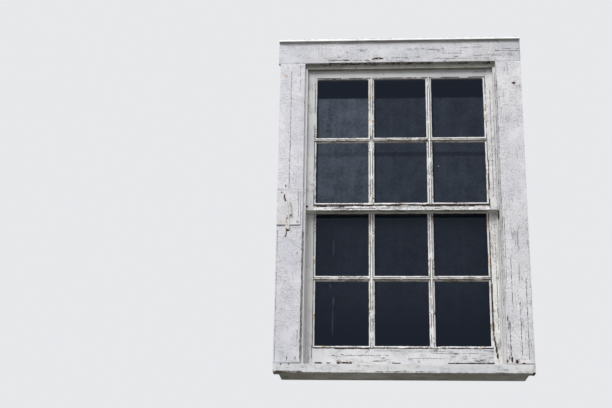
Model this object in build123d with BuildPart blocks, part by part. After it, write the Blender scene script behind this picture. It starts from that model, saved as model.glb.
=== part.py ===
from build123d import *
import os
from math import cos, radians, sin, tan

os.makedirs("parts", exist_ok=True)

# A six-over-six double-hung sash window in its box frame, hung on cords and weights.
# The origin is the middle of the sill's underside, in the plane of the wall face behind the casing.
# X runs to the right seen from outdoors, Y runs into the house and Z runs up. All sizes are in mm.

# Glass
pane_width = 254.0
pane_height = 304.8
pane_thickness = 2.4
pane_clearance = 2.0
pane_columns = 3
pane_rows = 2

# Section of the sash members
sash_thickness = 35.0
stile_width = 52.75
top_rail_height = 51.5
bottom_rail_height = 81.25
meeting_rail_height = 36.25
bar_width = 25.5
rabbet_width = 9.75
rabbet_depth = 11.0
ovolo_width = 9.0
ovolo_start = 18.0
ovolo_end = 33.5
putty_lip = 0.6
putty_recess = 0.5

# Joints in the sashes
tenon_thickness = 10.0
tenon_length = 34.0
tenon_shoulder = 7.0
mortise_clearance = 0.2
plough_width = 15.0
plough_depth = 13.5
plough_length = 200.0
knot_slot_width = 8.4
knot_slot_length = 16.0
knot_hole_diameter = 18.0
knot_hole_depth = 20.0
knot_hole_drop = 6.0

# Meeting rails, which close on a slanted face
meeting_overhang = 4.4
meeting_slant = 7.0
meeting_gap = 0.6
meeting_lip_drop = 24.0

# Running clearances of the sashes
sash_play = 1.0
sash_side_gap = 1.5
sill_gap = 1.0
head_gap = 1.7

# Sill
sill_slope = 9.5
sill_nose_height = 36.5
sill_projection = 33.0
sill_end_inset = 3.0
sill_nose_round = 2.0
drip_groove_width = 7.0
drip_groove_depth = 5.0
drip_groove_inset = 14.0

# Casing and drip cap
casing_width = 115.0
casing_thickness = 24.0
head_casing_height = 107.5
head_casing_overhang = 4.5
head_casing_shift = -3.5
head_reveal = 11.0
casing_arris = 1.5
drip_cap_projection = 14.0
drip_cap_front = 10.0
drip_cap_back = 14.0

# Jambs, stops and beads
jamb_thickness = 22.0
head_jamb_thickness = 25.0
jamb_housing = 8.0
blind_stop_thickness = 22.0
blind_stop_lip = 11.0
head_blind_stop_lip = 8.0
head_blind_stop_height = 60.0
parting_bead_thickness = 12.7
parting_bead_projection = 12.5
parting_bead_groove = 9.0
bead_arris = 1.5
inside_stop_width = 24.0
inside_stop_thickness = 12.0
inside_stop_round = 6.0

# Weight boxes
box_depth = 55.5
box_back_thickness = 12.0
box_lining_thickness = 14.0
box_lining_foot = 30.0
pocket_bottom = 170.0
pocket_length = 380.0
pocket_bevel = 14.0
pocket_clearance = 0.4

# Pulleys
pulley_drop = 90.0
pulley_pitch_radius = 25.0
pulley_flange_radius = 29.0
pulley_width = 12.0
pulley_groove_clearance = 0.4
pulley_rim = 1.2
pulley_ring_thickness = 3.0
pulley_hub_radius = 7.0
pulley_web_thickness = 5.0
pulley_hole_diameter = 6.5
pulley_hole_circle = 12.5
pulley_hole_count = 4
axle_diameter = 6.0
axle_clearance = 0.3
cheek_gap = 0.75
cheek_thickness = 2.0
cheek_height = 46.0
cheek_end_margin = 9.0
cheek_round = 11.5
face_plate_width = 24.0
face_plate_height = 112.0
face_plate_thickness = 2.5
face_plate_slot_margin = 3.5
housing_mortise_clearance = 0.5

# Cords and weights
cord_diameter = 7.0
cord_edge_depth = 5.0
knot_diameter = 14.0
knot_depth = 10.0
weight_diameter = 34.0
upper_weight_length = 575.0
lower_weight_length = 580.0
weight_neck_diameter = 20.0
weight_neck_length = 26.0
weight_round = 6.0
weight_eye_diameter = 8.0
weight_eye_drop = 13.0
upper_weight_foot = 92.0
lower_weight_below_pulley = 88.0

# Sash lock
lock_plate_length = 66.0
lock_plate_width = 26.0
lock_plate_thickness = 3.0
lock_boss_diameter = 18.0
lock_boss_height = 5.0
lock_pin_diameter = 7.0
lock_pin_clearance = 0.3
lever_thickness = 4.0
lever_hub_diameter = 20.0
lever_reach = 38.5
lever_cam_width = 12.0
lever_tail = 30.0
lever_tail_width = 9.0
lever_knob_diameter = 12.0
lever_knob_height = 11.0
lever_knob_round = 3.0
lever_lift = 0.3
keeper_length = 46.0
keeper_width = 21.0
keeper_setback = 3.0
keeper_lip = 3.0
keeper_clearance = 1.2

# Hook lifts
lift_spacing = 430.0
lift_width = 42.0
lift_height = 34.0
lift_plate_thickness = 2.5
lift_reach = 20.0
lift_hook_thickness = 4.0
lift_hook_rise = 12.0
lift_above_rail_foot = 16.0

# Hinge block and shutter hinge on the left casing
hinge_block_bottom = 658.5
hinge_block_height = 164.5
hinge_block_width = 106.0
hinge_block_thickness = 11.0
hinge_block_proud = 5.0
hinge_block_clearance = 0.3
hinge_block_foot_gap = 3.0
hinge_barrel_diameter = 13.0
hinge_barrel_length = 68.0
hinge_barrel_round = 1.0
hinge_barrel_sink = 1.5
hinge_lean = 9.0
hinge_inset = 63.5
hinge_barrel_foot = 46.5
hinge_strap_width = 18.0
hinge_strap_length = 145.0
hinge_strap_thickness = 3.0
hinge_strap_inset = 49.5
hinge_strap_drop = 18.5

# Widths that follow
opening_width = pane_width + 2 * pane_clearance
opening_height = pane_height + 2 * pane_clearance
daylight_width = opening_width - 2 * rabbet_width
daylight_height = opening_height - 2 * rabbet_width
glazed_width = pane_columns * daylight_width + (pane_columns - 1) * bar_width
glazed_height = pane_rows * daylight_height + (pane_rows - 1) * bar_width
sash_half = glazed_width / 2 + stile_width
jamb_face = sash_half + sash_side_gap
box_inner = jamb_face + jamb_thickness
box_outer = box_inner + box_depth + box_back_thickness
casing_half = jamb_face + casing_width
head_casing_half = casing_half + head_casing_overhang
sill_half = casing_half - sill_end_inset
bead_face = jamb_face - parting_bead_projection
stop_face = jamb_face - inside_stop_thickness
blind_face = jamb_face - blind_stop_lip

# Depths that follow
upper_front = blind_stop_thickness + sash_play
upper_back = upper_front + sash_thickness
bead_front = upper_back + sash_play
bead_back = bead_front + parting_bead_thickness
lower_front = bead_back + sash_play
lower_back = lower_front + sash_thickness
stop_front = lower_back + sash_play
jamb_back = stop_front + inside_stop_width
sill_nose = -(casing_thickness + sill_projection)


def wash_height(depth):
    """Height of the sill's sloped top at a depth into the house."""
    return sill_nose_height + (depth - sill_nose) * tan(radians(sill_slope))


# Heights that follow
lower_foot = wash_height(lower_front) + sill_gap
lower_glass = lower_foot + bottom_rail_height
meeting_bottom = lower_glass + glazed_height
meeting_top = meeting_bottom + meeting_rail_height
upper_glass = meeting_top
upper_glass_top = upper_glass + glazed_height
upper_top = upper_glass_top + top_rail_height
head_height = upper_top + head_gap
head_casing_foot = head_height + head_reveal
head_casing_top = head_casing_foot + head_casing_height
pulley_height = head_height - pulley_drop
cord_line = sash_half - cord_edge_depth
pulley_line = cord_line + pulley_pitch_radius
weight_line = pulley_line + pulley_pitch_radius
lever_level = meeting_top + lock_plate_thickness + lock_boss_height + lever_lift
upper_centre = upper_front + sash_thickness / 2
lower_centre = lower_front + sash_thickness / 2
lock_pivot = (upper_back + meeting_overhang + meeting_gap + lower_back) / 2
sides = {"left": -1, "right": 1}
pane_columns_x = [
    (column - (pane_columns - 1) / 2) * (daylight_width + bar_width) for column in range(pane_columns)
]
pane_rows_z = [daylight_height / 2 + row * (daylight_height + bar_width) for row in range(pane_rows)]


def save(piece, name):
    """Label a finished piece and write it."""
    piece.part.label = name
    export_step(piece.part, f"parts/{name}.step")


def wash_plane(rise=0.0):
    """Plane of the sill's sloped top, raised by an amount."""
    slope = radians(sill_slope)
    edge = (0, sill_nose, sill_nose_height + rise)
    return Plane(origin=edge, x_dir=(1, 0, 0), z_dir=(0, -sin(slope), cos(slope)))


def upright_board(side, near, far, front, back, foot, top, arris=0.0):
    """Board that stands upright on one side of the window, its outdoor or inner corners eased."""
    with BuildPart() as board:
        with BuildSketch(Plane.XY.offset(foot)):
            with Locations((side * (near + far) / 2, (front + back) / 2)):
                Rectangle(far - near, back - front)
            if arris:
                fillet(vertices().group_by(Axis.Y)[0], radius=arris)
        extrude(amount=top - foot)
    return board


def level_board(half_length, front, back, foot, top, arris=0.0, middle=0.0):
    """Board that runs level across the window, its outdoor corners eased."""
    with BuildPart() as board:
        with BuildSketch(Plane.YZ.offset(middle - half_length)):
            with Locations(((front + back) / 2, (foot + top) / 2)):
                Rectangle(back - front, top - foot)
            if arris:
                fillet(vertices().group_by(Axis.X)[0], radius=arris)
        extrude(amount=2 * half_length)
    return board


# Sill


def make_sill(housings):
    """Sill plank: sloped top, drip groove under the nose, horns only in front of the wall face."""
    inner_top = wash_height(jamb_back)
    with BuildPart() as sill:
        with BuildSketch(Plane.YZ.offset(-sill_half)):
            with BuildLine():
                Polyline((sill_nose, 0), (sill_nose, sill_nose_height), (jamb_back, inner_top),
                         (jamb_back, 0), close=True)
            make_face()
            fillet(vertices().group_by(Axis.X)[0].sort_by(Axis.Y)[-1], radius=sill_nose_round)
        extrude(amount=2 * sill_half)
        with BuildSketch(Plane.YZ.offset(-sill_half)):
            with Locations((sill_nose + drip_groove_inset, 0)):
                Rectangle(drip_groove_width, 2 * drip_groove_depth)
        extrude(amount=2 * sill_half, mode=Mode.SUBTRACT)
        for side in sides.values():
            with BuildSketch(Plane.XY):
                with Locations((side * (box_outer + sill_half) / 2, jamb_back / 2)):
                    Rectangle(sill_half - box_outer, jamb_back)
            extrude(amount=inner_top, mode=Mode.SUBTRACT)
        for housing in housings:
            add(housing.part, mode=Mode.SUBTRACT)
    return sill


# Jambs, casing, stops and beads


def make_jamb_blank(side):
    """Pulley stile as a plain plank, housed into the sill and the head jamb."""
    blank = upright_board(side, jamb_face, box_inner, blind_stop_thickness, jamb_back,
                          0, head_height + jamb_housing)
    with BuildPart() as jamb:
        add(blank.part)
        split(bisect_by=wash_plane(-jamb_housing), keep=Keep.TOP)
    return jamb


def pocket_outline(side, clearance):
    """Pocket in a pulley stile, with bevelled ends, on the plane of one track."""
    front = bead_back + clearance
    back = stop_front - clearance
    low = pocket_bottom + clearance
    high = pocket_bottom + pocket_length - clearance
    with BuildPart() as pocket:
        with BuildSketch(Plane.XZ.offset(-back)):
            with BuildLine():
                Polyline((side * jamb_face, low), (side * box_inner, low + pocket_bevel),
                         (side * box_inner, high + pocket_bevel), (side * jamb_face, high), close=True)
            make_face()
        extrude(amount=back - front)
    return pocket


def make_jamb(side):
    """Pulley stile with its bead groove, pulley mortises and weight pocket."""
    blank = make_jamb_blank(side)
    pocket = pocket_outline(side, 0)
    mortise_width = pulley_width + 2 * (cheek_gap + cheek_thickness + housing_mortise_clearance)
    mortise_height = 2 * (pulley_flange_radius + housing_mortise_clearance) + cheek_gap
    with BuildPart() as jamb:
        add(blank.part)
        with BuildSketch(Plane.XY):
            with Locations((side * (jamb_face + parting_bead_groove / 2), (bead_front + bead_back) / 2)):
                Rectangle(parting_bead_groove, parting_bead_thickness)
        extrude(amount=head_height, mode=Mode.SUBTRACT)
        for centre in (upper_centre, lower_centre):
            middle = (side * jamb_face, centre, pulley_height)
            face = Plane(origin=middle, x_dir=(0, 1, 0), z_dir=(side, 0, 0))
            with BuildSketch(face):
                SlotOverall(face_plate_height, face_plate_width, rotation=90)
            extrude(amount=face_plate_thickness, mode=Mode.SUBTRACT)
            with BuildSketch(face):
                Rectangle(mortise_width, mortise_height)
            extrude(amount=jamb_thickness, mode=Mode.SUBTRACT)
        add(pocket.part, mode=Mode.SUBTRACT)
    return jamb


def make_head_jamb(blanks):
    """Head jamb across the whole frame, housed for the pulley stiles and grooved for the bead."""
    board = level_board(box_outer, blind_stop_thickness, jamb_back, head_height,
                        head_height + head_jamb_thickness)
    with BuildPart() as head:
        add(board.part)
        for blank in blanks:
            add(blank.part, mode=Mode.SUBTRACT)
        with BuildSketch(Plane.YZ.offset(-bead_face)):
            with Locations(((bead_front + bead_back) / 2, head_height + parting_bead_groove / 2)):
                Rectangle(parting_bead_thickness, parting_bead_groove)
        extrude(amount=2 * bead_face, mode=Mode.SUBTRACT)
    return head


def standing_on_wash(board):
    """Board with its foot cut to the slope of the sill."""
    with BuildPart() as standing:
        add(board.part)
        split(bisect_by=wash_plane(), keep=Keep.TOP)
    return standing


def make_side_casing(side):
    """Side casing, standing on the sill under the head casing."""
    casing = standing_on_wash(upright_board(side, jamb_face, casing_half, -casing_thickness, 0,
                                            0, head_casing_foot, casing_arris))
    if side < 0:
        with BuildPart() as recessed:
            add(casing.part)
            add(block_board(0, 0).part, mode=Mode.SUBTRACT)
        return recessed
    return casing


def make_drip_cap():
    """Thin board over the head casing, its top sloped to shed water."""
    front = -(casing_thickness + drip_cap_projection)
    with BuildPart() as cap:
        with BuildSketch(Plane.YZ.offset(head_casing_shift - head_casing_half)):
            with BuildLine():
                Polyline((front, head_casing_top), (front, head_casing_top + drip_cap_front),
                         (0, head_casing_top + drip_cap_back), (0, head_casing_top), close=True)
            make_face()
            fillet(vertices().group_by(Axis.X)[0], radius=casing_arris)
        extrude(amount=2 * head_casing_half)
    return cap


def make_head_parting_bead():
    """Head parting bead between the side beads, set in the head jamb's groove."""
    return level_board(bead_face, bead_front, bead_back, head_height - parting_bead_projection,
                       head_height + parting_bead_groove)


def make_side_bead(side):
    """Side parting bead, set in the pulley stile's groove, its inner arrises eased."""
    root = jamb_face + parting_bead_groove
    with BuildPart() as bead:
        with BuildSketch():
            with Locations((side * (bead_face + root) / 2, (bead_front + bead_back) / 2)):
                Rectangle(root - bead_face, parting_bead_thickness)
            inner = vertices().group_by(Axis.X)[0 if side > 0 else -1]
            fillet(inner, radius=bead_arris)
        extrude(amount=head_height)
        split(bisect_by=wash_plane(), keep=Keep.TOP)
    return bead


def make_side_stop(side):
    """Inside stop against the pulley stile, rounded on its room side corner."""
    with BuildPart() as stop:
        with BuildSketch():
            with Locations((side * (stop_face + jamb_face) / 2, (stop_front + jamb_back) / 2)):
                Rectangle(inside_stop_thickness, inside_stop_width)
            room_corners = vertices().group_by(Axis.Y)[-1].sort_by(Axis.X)
            fillet(room_corners[0 if side > 0 else -1], radius=inside_stop_round)
        extrude(amount=head_height)
        split(bisect_by=wash_plane(), keep=Keep.TOP)
    return stop


def make_head_stop():
    """Inside stop under the head jamb, rounded on its room side corner."""
    with BuildPart() as stop:
        with BuildSketch(Plane.YZ.offset(-stop_face)):
            with Locations(((stop_front + jamb_back) / 2, head_height - inside_stop_thickness / 2)):
                Rectangle(inside_stop_width, inside_stop_thickness)
            fillet(vertices().group_by(Axis.X)[-1].sort_by(Axis.Y)[0], radius=inside_stop_round)
        extrude(amount=2 * stop_face)
    return stop


# Hinge block and shutter hinge


def block_board(clearance, foot_gap):
    """Board let into the left casing, its outer side flush with the casing's edge."""
    front = -(casing_thickness + hinge_block_proud)
    return upright_board(-1, casing_half - hinge_block_width + clearance, casing_half, front,
                         front + hinge_block_thickness, hinge_block_bottom + foot_gap,
                         hinge_block_bottom + hinge_block_height - clearance)


def make_shutter_hinge():
    """Leaning iron barrel of a shutter hinge, on a strap that runs down past the hinge block."""
    face = -(casing_thickness + hinge_block_proud)
    front = face - hinge_strap_thickness + hinge_barrel_sink - hinge_barrel_diameter / 2
    lean = radians(hinge_lean)
    barrel_foot = (hinge_inset - casing_half, front, hinge_block_bottom + hinge_barrel_foot)
    strap_middle = hinge_block_bottom - hinge_strap_drop + hinge_strap_length / 2
    with BuildPart() as hinge:
        with BuildSketch(Plane(origin=barrel_foot, x_dir=(cos(lean), 0, sin(lean)),
                               z_dir=(-sin(lean), 0, cos(lean)))):
            Circle(hinge_barrel_diameter / 2)
        extrude(amount=hinge_barrel_length)
        fillet(edges().filter_by(GeomType.CIRCLE), radius=hinge_barrel_round)
        with BuildSketch(Plane(origin=(hinge_strap_inset - casing_half, face, strap_middle),
                               x_dir=(1, 0, 0), z_dir=(0, -1, 0))):
            Rectangle(hinge_strap_width, hinge_strap_length)
        extrude(amount=hinge_strap_thickness)
    return hinge


# Sash members


def edge_outline(width):
    """Section of a stile or rail: distance from its outer edge, and depth from its outdoor face."""
    with BuildLine() as outline:
        Polyline((0, 0), (width - rabbet_width, 0), (width - rabbet_width, rabbet_depth),
                 (width, rabbet_depth), (width, ovolo_start))
        TangentArc((width, ovolo_start), (width - ovolo_width, ovolo_end), tangent=(0, 1))
        Polyline((width - ovolo_width, ovolo_end), (width - ovolo_width, sash_thickness),
                 (0, sash_thickness), (0, 0))
    return outline.line


def bar_outline():
    """Section of a glazing bar about its middle line, with its depth from the outdoor face."""
    half = bar_width / 2
    tongue = half - rabbet_width
    nose = half - ovolo_width
    with BuildLine() as outline:
        Polyline((-half, ovolo_start), (-half, rabbet_depth), (-tongue, rabbet_depth), (-tongue, 0),
                 (tongue, 0), (tongue, rabbet_depth), (half, rabbet_depth), (half, ovolo_start))
        TangentArc((half, ovolo_start), (nose, ovolo_end), tangent=(0, 1))
        Polyline((nose, ovolo_end), (nose, sash_thickness), (-nose, sash_thickness), (-nose, ovolo_end))
        TangentArc((-half, ovolo_start), (-nose, ovolo_end), tangent=(0, 1))
    return outline.line


def make_stile_blank(side, front, foot, top):
    """Stile before its mortises and plough are cut."""
    base = Plane(origin=(side * sash_half, front, foot), x_dir=(-side, 0, 0), z_dir=(0, 0, -side))
    with BuildPart() as stile:
        with BuildSketch(base):
            add(edge_outline(stile_width))
            make_face()
        extrude(amount=-side * (top - foot))
    return stile


def tenon_blocks(front, foot, top, clearance):
    """Two tenons of a rail, one into each stile, between two heights."""
    inner = glazed_width / 2
    middle = front + rabbet_depth + clearance + tenon_thickness / 2
    with BuildPart() as tenons:
        for side in sides.values():
            with BuildSketch(Plane.XY.offset(foot - clearance)):
                with Locations((side * (inner + (tenon_length + clearance) / 2), middle)):
                    Rectangle(tenon_length + clearance, tenon_thickness + 2 * clearance)
            extrude(amount=top - foot + 2 * clearance)
    return tenons


def make_stile(blank, mortises, side, front, top):
    """Stile with its mortises, the plough for the cord, and the hole that holds the knot."""
    middle = front + sash_thickness / 2
    plough_foot = top - plough_length
    hole = Plane(origin=(side * sash_half, middle, knot_height(top)), x_dir=(0, 1, 0), z_dir=(-side, 0, 0))
    with BuildPart() as stile:
        add(blank.part)
        for mortise in mortises:
            add(mortise.part, mode=Mode.SUBTRACT)
        with BuildSketch(Plane.XY.offset(plough_foot)):
            with Locations((side * (sash_half - plough_depth / 2), middle)):
                Rectangle(plough_depth, plough_width)
        extrude(amount=plough_length, mode=Mode.SUBTRACT)
        with BuildSketch(Plane.XY.offset(plough_foot - knot_slot_length)):
            with Locations((side * (sash_half - plough_depth / 2), middle)):
                Rectangle(plough_depth, knot_slot_width)
        extrude(amount=knot_slot_length, mode=Mode.SUBTRACT)
        with BuildSketch(hole):
            Circle(knot_hole_diameter / 2)
        extrude(amount=knot_hole_depth, mode=Mode.SUBTRACT)
    return stile


def knot_height(top):
    """Height of the cord's knot in a sash whose stiles end at a height."""
    return top - plough_length - knot_slot_length - knot_hole_drop


def make_moulded_rail(front, outer_edge, toward_glass, width, stiles, tenons):
    """Rail with the stiles' section, coped over their mouldings and tenoned into them."""
    base = Plane(origin=(0, front, outer_edge), x_dir=(0, 0, toward_glass), z_dir=(-toward_glass, 0, 0))
    with BuildPart() as rail:
        with BuildSketch(base):
            add(edge_outline(width))
            make_face()
        extrude(amount=glazed_width / 2 + rabbet_width, both=True)
        for stile in stiles:
            add(stile.part, mode=Mode.SUBTRACT)
        add(tenons.part)
    return rail


def meeting_depth(height):
    """Depth of the slanted line on which the two meeting rails close."""
    share = (meeting_top - height) / meeting_rail_height
    return upper_back + meeting_overhang + meeting_slant * share


def make_upper_meeting_rail(stiles, tenons):
    """Bottom rail of the upper sash, widened indoors to meet the lower sash on a slant."""
    with BuildPart() as rail:
        with BuildSketch(Plane.YZ):
            with BuildLine():
                Polyline((upper_front, meeting_bottom), (upper_front, meeting_top - rabbet_width),
                         (upper_front + rabbet_depth, meeting_top - rabbet_width),
                         (upper_front + rabbet_depth, meeting_top), (upper_back, meeting_top),
                         (upper_back, meeting_bottom), close=True)
            make_face()
        extrude(amount=glazed_width / 2 + rabbet_width, both=True)
        for stile in stiles:
            add(stile.part, mode=Mode.SUBTRACT)
        with BuildSketch(Plane.YZ):
            with BuildLine():
                Polyline((upper_back, meeting_bottom), (upper_back, meeting_top),
                         (meeting_depth(meeting_top), meeting_top),
                         (meeting_depth(meeting_bottom), meeting_bottom), close=True)
            make_face()
        extrude(amount=bead_face - sash_play, both=True)
        add(tenons.part)
    return rail


def make_lower_meeting_rail(stiles, tenons):
    """Top rail of the lower sash, with a lip outdoors that meets the upper sash on a slant."""
    lip_foot = meeting_top - meeting_lip_drop
    core = make_moulded_rail(lower_front, meeting_top, -1, meeting_rail_height, stiles, tenons)
    with BuildPart() as rail:
        add(core.part)
        with BuildSketch(Plane.YZ):
            with BuildLine():
                Polyline((lower_front, lip_foot), (lower_front, meeting_top),
                         (meeting_depth(meeting_top) + meeting_gap, meeting_top),
                         (meeting_depth(lip_foot) + meeting_gap, lip_foot), close=True)
            make_face()
        extrude(amount=bead_face - sash_play, both=True)
    return rail


def make_upright_bar(x, front, glass_foot, rails):
    """Glazing bar that runs through from rail to rail, coped over their mouldings."""
    with BuildPart() as bar:
        with BuildSketch(Plane(origin=(x, front, glass_foot - rabbet_width), z_dir=(0, 0, 1))):
            add(bar_outline())
            make_face()
        extrude(amount=glazed_height + 2 * rabbet_width)
        for rail in rails:
            add(rail.part, mode=Mode.SUBTRACT)
    return bar


def make_cross_bars(front, glass_foot, stiles, uprights):
    """Short glazing bars between the stiles and the upright bars, one in each column."""
    with BuildPart() as bars:
        for row in range(1, pane_rows):
            height = glass_foot + row * (daylight_height + bar_width) - bar_width / 2
            with BuildSketch(Plane(origin=(0, front, height), x_dir=(0, 0, 1), z_dir=(-1, 0, 0))):
                add(bar_outline())
                make_face()
            extrude(amount=glazed_width / 2 + rabbet_width, both=True)
        for upright in stiles + uprights:
            add(upright.part, mode=Mode.SUBTRACT)
    return bars


def make_panes(front, glass_foot):
    """Six panes, bedded against the back of the rabbets."""
    back = Plane(origin=(0, front + rabbet_depth, glass_foot), x_dir=(1, 0, 0), z_dir=(0, -1, 0))
    with BuildPart() as panes:
        with BuildSketch(back):
            with Locations(*[(x, z) for x in pane_columns_x for z in pane_rows_z]):
                Rectangle(pane_width, pane_height)
        extrude(amount=pane_thickness)
    return panes


def make_putty(front, glass_foot):
    """Bevelled putty that holds each pane, from the glass out to the face of the wood."""
    glass_face = front + rabbet_depth - pane_thickness
    outer_face = front + putty_recess
    with BuildPart() as bevel:
        with BuildSketch(Plane(origin=(0, glass_face, 0), x_dir=(1, 0, 0), z_dir=(0, -1, 0))):
            Rectangle(daylight_width, daylight_height)
        with BuildSketch(Plane(origin=(0, outer_face, 0), x_dir=(1, 0, 0), z_dir=(0, -1, 0))):
            Rectangle(opening_width - 2 * putty_lip, opening_height - 2 * putty_lip)
        loft()
    with BuildPart() as putty:
        with BuildSketch(Plane(origin=(0, glass_face, glass_foot), x_dir=(1, 0, 0), z_dir=(0, -1, 0))):
            with Locations(*[(x, z) for x in pane_columns_x for z in pane_rows_z]):
                Rectangle(opening_width, opening_height)
        extrude(amount=glass_face - outer_face)
        with Locations(*[(x, 0, glass_foot + z) for x in pane_columns_x for z in pane_rows_z]):
            add(bevel.part, mode=Mode.SUBTRACT)
    return putty


def bar_positions():
    """Middle lines of the upright bars, from left to right."""
    return [(left + right) / 2 for left, right in zip(pane_columns_x, pane_columns_x[1:])]


def save_sash(name, front, glass_foot, stile_blanks, mortises, top, rails):
    """Cut the stiles of one sash, fill it with bars, glass and putty, and write its pieces."""
    stiles = list(stile_blanks.values())
    for side_name, side in sides.items():
        stile = make_stile(stile_blanks[side_name], mortises, side, front, top)
        save(stile, f"{name}_{side_name}_stile")
    uprights = [make_upright_bar(x, front, glass_foot, rails) for x in bar_positions()]
    for number, upright in enumerate(uprights, start=1):
        save(upright, f"{name}_upright_bar_{number}")
    save(make_cross_bars(front, glass_foot, stiles, uprights), f"{name}_cross_bars")
    save(make_panes(front, glass_foot), f"{name}_panes")
    save(make_putty(front, glass_foot), f"{name}_putty")


def make_upper_sash():
    """Upper sash, which slides in the outdoor track."""
    blanks = {
        name: make_stile_blank(side, upper_front, meeting_bottom, upper_top)
        for name, side in sides.items()
    }
    stiles = list(blanks.values())
    top_span = (upper_glass_top + rabbet_width, upper_top - tenon_shoulder)
    meeting_span = (meeting_bottom + tenon_shoulder, meeting_top - rabbet_width)
    top_rail = make_moulded_rail(upper_front, upper_top, -1, top_rail_height, stiles,
                                 tenon_blocks(upper_front, *top_span, 0))
    meeting_rail = make_upper_meeting_rail(stiles, tenon_blocks(upper_front, *meeting_span, 0))
    mortises = [tenon_blocks(upper_front, *span, mortise_clearance) for span in (top_span, meeting_span)]
    save(top_rail, "upper_top_rail")
    save(meeting_rail, "upper_meeting_rail")
    save_sash("upper", upper_front, upper_glass, blanks, mortises, upper_top, [top_rail, meeting_rail])


def cut_to_sill(piece):
    """Piece of the lower sash with its foot cut to the slope of the sill."""
    with BuildPart() as cut:
        add(piece.part)
        split(bisect_by=wash_plane(sill_gap), keep=Keep.TOP)
    return cut


def make_lower_sash():
    """Lower sash, which slides in the indoor track and closes on the sill."""
    blanks = {
        name: cut_to_sill(make_stile_blank(side, lower_front, lower_foot, meeting_top))
        for name, side in sides.items()
    }
    stiles = list(blanks.values())
    low_span = (lower_foot + 2 * tenon_shoulder, lower_glass - rabbet_width)
    meeting_span = (meeting_bottom + rabbet_width, meeting_top - tenon_shoulder)
    bottom_rail = cut_to_sill(make_moulded_rail(lower_front, lower_foot, 1, bottom_rail_height, stiles,
                                                tenon_blocks(lower_front, *low_span, 0)))
    meeting_rail = make_lower_meeting_rail(stiles, tenon_blocks(lower_front, *meeting_span, 0))
    mortises = [tenon_blocks(lower_front, *span, mortise_clearance) for span in (low_span, meeting_span)]
    save(bottom_rail, "lower_bottom_rail")
    save(meeting_rail, "lower_meeting_rail")
    save_sash("lower", lower_front, lower_glass, blanks, mortises, meeting_top, [bottom_rail, meeting_rail])


# Pulleys, cords and weights


def make_pulley(side, centre):
    """Grooved cast wheel that turns on its axle, with holes through its web."""
    half = pulley_width / 2
    groove = cord_diameter / 2 + pulley_groove_clearance
    root = pulley_pitch_radius - groove
    ring = root - pulley_ring_thickness
    web = pulley_web_thickness / 2
    bore = axle_diameter / 2 + axle_clearance
    axis = Plane(origin=(side * pulley_line, centre, pulley_height), x_dir=(1, 0, 0), z_dir=(0, 1, 0))
    with BuildPart() as wheel:
        with BuildSketch(Plane(origin=axis.origin, x_dir=(1, 0, 0), z_dir=(0, 0, 1))):
            with BuildLine():
                Polyline((bore, -half), (pulley_hub_radius, -half), (pulley_hub_radius, -web),
                         (ring, -web), (ring, -half), (pulley_flange_radius, -half),
                         (pulley_flange_radius, pulley_rim - half), (pulley_pitch_radius, -groove))
                ThreePointArc((pulley_pitch_radius, -groove), (root, 0), (pulley_pitch_radius, groove))
                Polyline((pulley_pitch_radius, groove), (pulley_flange_radius, half - pulley_rim),
                         (pulley_flange_radius, half), (ring, half), (ring, web), (pulley_hub_radius, web),
                         (pulley_hub_radius, half), (bore, half), (bore, -half))
            make_face()
        revolve(axis=Axis(axis.origin, (0, 1, 0)))
        with BuildSketch(axis):
            with PolarLocations(pulley_hole_circle, pulley_hole_count):
                Circle(pulley_hole_diameter / 2)
        extrude(amount=half, both=True, mode=Mode.SUBTRACT)
    return wheel


def make_pulley_housings():
    """Four housings: a face plate let into the pulley stile, two cheeks and the axle pin."""
    cheek_offset = pulley_width / 2 + cheek_gap + cheek_thickness / 2
    slot_width = pulley_width + 2 * cheek_gap
    protrusion = pulley_line - jamb_face - face_plate_thickness
    slot_half = (pulley_flange_radius ** 2 - protrusion ** 2) ** 0.5 + face_plate_slot_margin
    cheek_depth = pulley_line - jamb_face + cheek_end_margin
    with BuildPart() as housings:
        for side in sides.values():
            for centre in (upper_centre, lower_centre):
                middle = (side * jamb_face, centre, pulley_height)
                with BuildSketch(Plane(origin=middle, x_dir=(0, 1, 0), z_dir=(side, 0, 0))):
                    SlotOverall(face_plate_height, face_plate_width, rotation=90)
                    Rectangle(slot_width, 2 * slot_half, mode=Mode.SUBTRACT)
                extrude(amount=face_plate_thickness)
                for hand in (-1, 1):
                    cheek = Plane(origin=(side * jamb_face, centre + hand * cheek_offset, pulley_height),
                                  x_dir=(side, 0, 0), z_dir=(0, 1, 0))
                    with BuildSketch(cheek):
                        with Locations((cheek_depth / 2, 0)):
                            Rectangle(cheek_depth, cheek_height)
                        fillet(vertices().group_by(Axis.X)[-1 if side > 0 else 0], radius=cheek_round)
                    extrude(amount=cheek_thickness / 2, both=True)
                axle = (side * pulley_line, centre, pulley_height)
                with BuildSketch(Plane(origin=axle, x_dir=(1, 0, 0), z_dir=(0, 1, 0))):
                    Circle(axle_diameter / 2)
                extrude(amount=cheek_offset, both=True)
    return housings


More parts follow.
